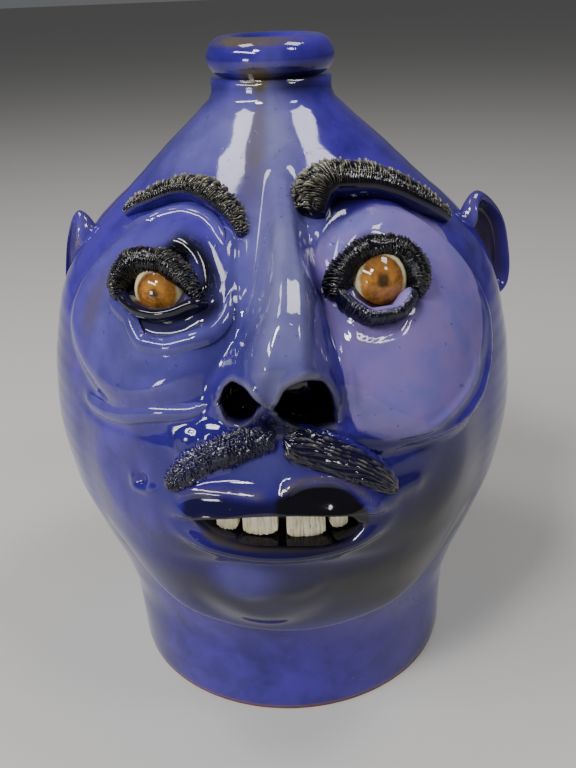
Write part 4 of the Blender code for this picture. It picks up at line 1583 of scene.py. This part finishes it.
@dataclass
class TeethRow:
    """Chips of white clay hanging from the upper gum, with rough broken edges."""

    face: Face
    start: float = -23.6
    level: float = 114
    setback: float = 6.0
    thickness: float = 5 * MM
    cuts: int = 39
    teeth: tuple[Tooth, ...] = (
        Tooth("tooth_1", 0, 7.6, 110.0, 15), Tooth("tooth_2", 0.6, 12.4, 108.5, 16.5),
        Tooth("tooth_3", 1.6, 13.8, 107.0, 18), Tooth("tooth_4", 0.6, 6.2, 109.5, 14.5))

    def build(self, finish: bpy.types.Material) -> list[bpy.types.Object]:
        """Makes the teeth side by side round the gum.

        Args:
            finish: the clay.

        Returns:
            The pieces, from left to right.
        """
        gum_radius = -self.face.skin(0, self.level, -self.setback)[1]
        made = []
        end = self.start
        for tooth in self.teeth:
            middle = end + tooth.gap + tooth.width / 2
            end += tooth.gap + tooth.width
            made.append(self.chip(tooth, math.degrees(middle * FACE / gum_radius), finish))
        return made

    def chip(self, tooth: Tooth, azimuth: float,
             finish: bpy.types.Material) -> bpy.types.Object:
        """Cuts a block fine, rounds it, and scores and breaks its surface.

        Args:
            tooth: the tooth's sizes.
            azimuth: where its middle is, in degrees from the front.
            finish: the clay.

        Returns:
            The piece.
        """
        mesh = bmesh.new()
        bmesh.ops.create_cube(mesh, size=2)
        bmesh.ops.subdivide_edges(mesh, edges=mesh.edges, cuts=self.cuts, use_grid_fill=True)
        cube = get_points(mesh)
        a, b, c = cube.T
        angle = math.radians(azimuth)
        across = np.array((math.cos(angle), math.sin(angle), 0))
        inward = np.array((-math.sin(angle), math.cos(angle), 0))
        middle = self.face.skin(azimuth, self.level, -self.setback)
        middle[2] = (tooth.low + tooth.height / 2) * FACE
        half = np.array((tooth.width * FACE / 2, self.thickness / 2, tooth.height * FACE / 2))
        columns, fine = (
            np.array([noise.noise(Vector((x * tooth.width * wide + azimuth, y, z * tall)))
                      for x, y, z in cube]) for wide, tall in ((1.1, 0.3), (3.2, 1.5)))
        # Corners are rounded in plan and at the lower edge, as a broken chip's are
        plan = np.clip(np.abs(a) ** 8 + np.abs(b) ** 8, 0, 1)
        below = np.abs(c) ** 8 * (c < 0)
        narrow = 1 - 0.10 * plan - 0.10 * below * np.abs(a) ** 3 - 0.03 * c
        deep = 1 - 0.22 * plan - 0.35 * below
        front = ramp(0.6, 1, -b)
        groove = 1 - ramp(0.02, 0.14, np.abs(columns + 0.25 * fine))
        points = (middle + np.outer(a * half[0] * narrow, across)
                  + np.outer(b * half[1] * deep, inward))
        points += np.outer(front * (groove * 0.35 - 0.3 * (1 - a * a)) * FACE, inward)
        broken = ramp(0.3, 1, -c) * (0.45 * columns + 0.2 * fine) * FACE
        points[:, 2] += c * half[2] + broken + below * 1.6 * np.abs(a) ** 3 * FACE
        set_points(mesh, points)
        bmesh.ops.recalc_face_normals(mesh, faces=mesh.faces)
        piece = finish_piece(tooth.node + "_chip", mesh, finish,
                             {"groove": groove * front})
        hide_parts(tooth.node)
        return piece


@dataclass(frozen=True)
class Lamp:
    """Soft rectangular light: its place and sides in metres, and its power in watts."""

    name: str
    place: Triple
    power: float
    wide: float
    tall: float

    def build(self) -> None:
        """Adds the light and turns it to face the jug."""
        data = bpy.data.lights.new(self.name, "AREA")
        data.shape = "RECTANGLE"
        data.energy = self.power
        data.size = self.wide
        data.size_y = self.tall
        item = add_object(self.name, data)
        item.location = self.place
        aim = Vector((0, 0, HEIGHT / 2)) - Vector(self.place)
        item.rotation_euler = aim.to_track_quat("-Z", "Y").to_euler()


@dataclass
class Studio:
    """Plain pale floor, soft studio light, and the photograph's camera.

    The camera's distance and rise are shares of the jug's height, and its angles are degrees.
    """

    focal_pixels: float = 860
    image_height: float = 768
    pitch: float = 25.3
    roll: float = 2.16
    pan: float = 0.34
    distance: float = 1.305
    rise: float = 1.071
    floor_radius: float = 14.0
    world_colour: tuple[float, ...] = (0.55, 0.56, 0.58, 1)
    world_strength: float = 0.22
    lamps: tuple[Lamp, ...] = (
        Lamp("key", (-0.45, -0.75, 1.15), 7.5, 0.2, 0.2),
        Lamp("front_window", (-0.8, -0.85, 0.22), 3, 0.2, 0.2),
        Lamp("left_strip", (-0.85, -0.65, 1.0), 13, 0.9, 0.14),
        Lamp("overhead_left", (-0.5, 0.0, 1.3), 4.5, 0.3, 0.3),
        Lamp("overhead_right", (0.5, 0.0, 1.3), 6, 0.35, 0.35),
        Lamp("right_fill", (0.6, -0.55, 1.1), 3, 0.2, 0.2))

    def camera(self) -> None:
        """Sets the camera at the photograph's place and angle."""
        data = bpy.data.cameras.new("photo_camera")
        data.sensor_fit = "VERTICAL"
        data.sensor_height = 36
        data.lens = self.focal_pixels / self.image_height * data.sensor_height
        item = add_object("photo_camera", data)
        pitch, roll, pan = (math.radians(v) for v in (self.pitch, self.roll, self.pan))
        forward = Vector((math.sin(pan) * math.cos(pitch), math.cos(pan) * math.cos(pitch),
                          -math.sin(pitch)))
        level = Vector((math.cos(pan), -math.sin(pan), 0))
        upright = level.cross(forward)
        right = level * math.cos(roll) - upright * math.sin(roll)
        up = upright * math.cos(roll) + level * math.sin(roll)
        item.matrix_world = Matrix.Translation((0, -self.distance * HEIGHT, self.rise * HEIGHT))
        item.matrix_world @= Matrix((right, up, -forward)).transposed().to_4x4()
        bpy.context.scene.camera = item

    def build(self) -> None:
        """Sets the floor, the lights, the world and the camera."""
        mesh = bmesh.new()
        bmesh.ops.create_circle(mesh, cap_ends=True, segments=96, radius=self.floor_radius)
        floor = mesh_object("floor", mesh, FloorFinish().build())
        for lamp in self.lamps:
            lamp.build()
        world = bpy.data.worlds.new("studio")
        world.use_nodes = True
        background = world.node_tree.nodes["Background"]
        background.inputs["Color"].default_value = self.world_colour
        background.inputs["Strength"].default_value = self.world_strength
        bpy.context.scene.world = world
        self.camera()


def main() -> None:
    """Builds the jug piece by piece and sets the studio."""
    logging.basicConfig(level=logging.INFO, format="%(name)s %(message)s")
    face = Face(Wall())
    cobalt = CobaltGlaze().build()
    white = ToothClay().build()
    JugBody(face).build(cobalt)
    Ear(face, side=1, outward_reach=10.5, inward_reach=15, low=(154, 0),
        high=(187, 8)).build(cobalt)
    Ear(face, side=-1, outward_reach=4, inward_reach=12, low=(161, -4), high=(187, 6),
        hollow=4).build(cobalt)
    Hair(face).build(cobalt)
    Lids(face).build(cobalt)
    Crests(face).build(cobalt)
    Eye("eye_left", iris=7.4, pupil=1.4, narrow=1.0, gaze_azimuth=-13, gaze_rise=11).build()
    Eye("eye_right", iris=8.7, pupil=2.0, narrow=1.15, gaze_azimuth=7, gaze_rise=15).build()
    TeethRow(face).build(white)
    Studio().build()


if __name__ == "__main__":
    main()
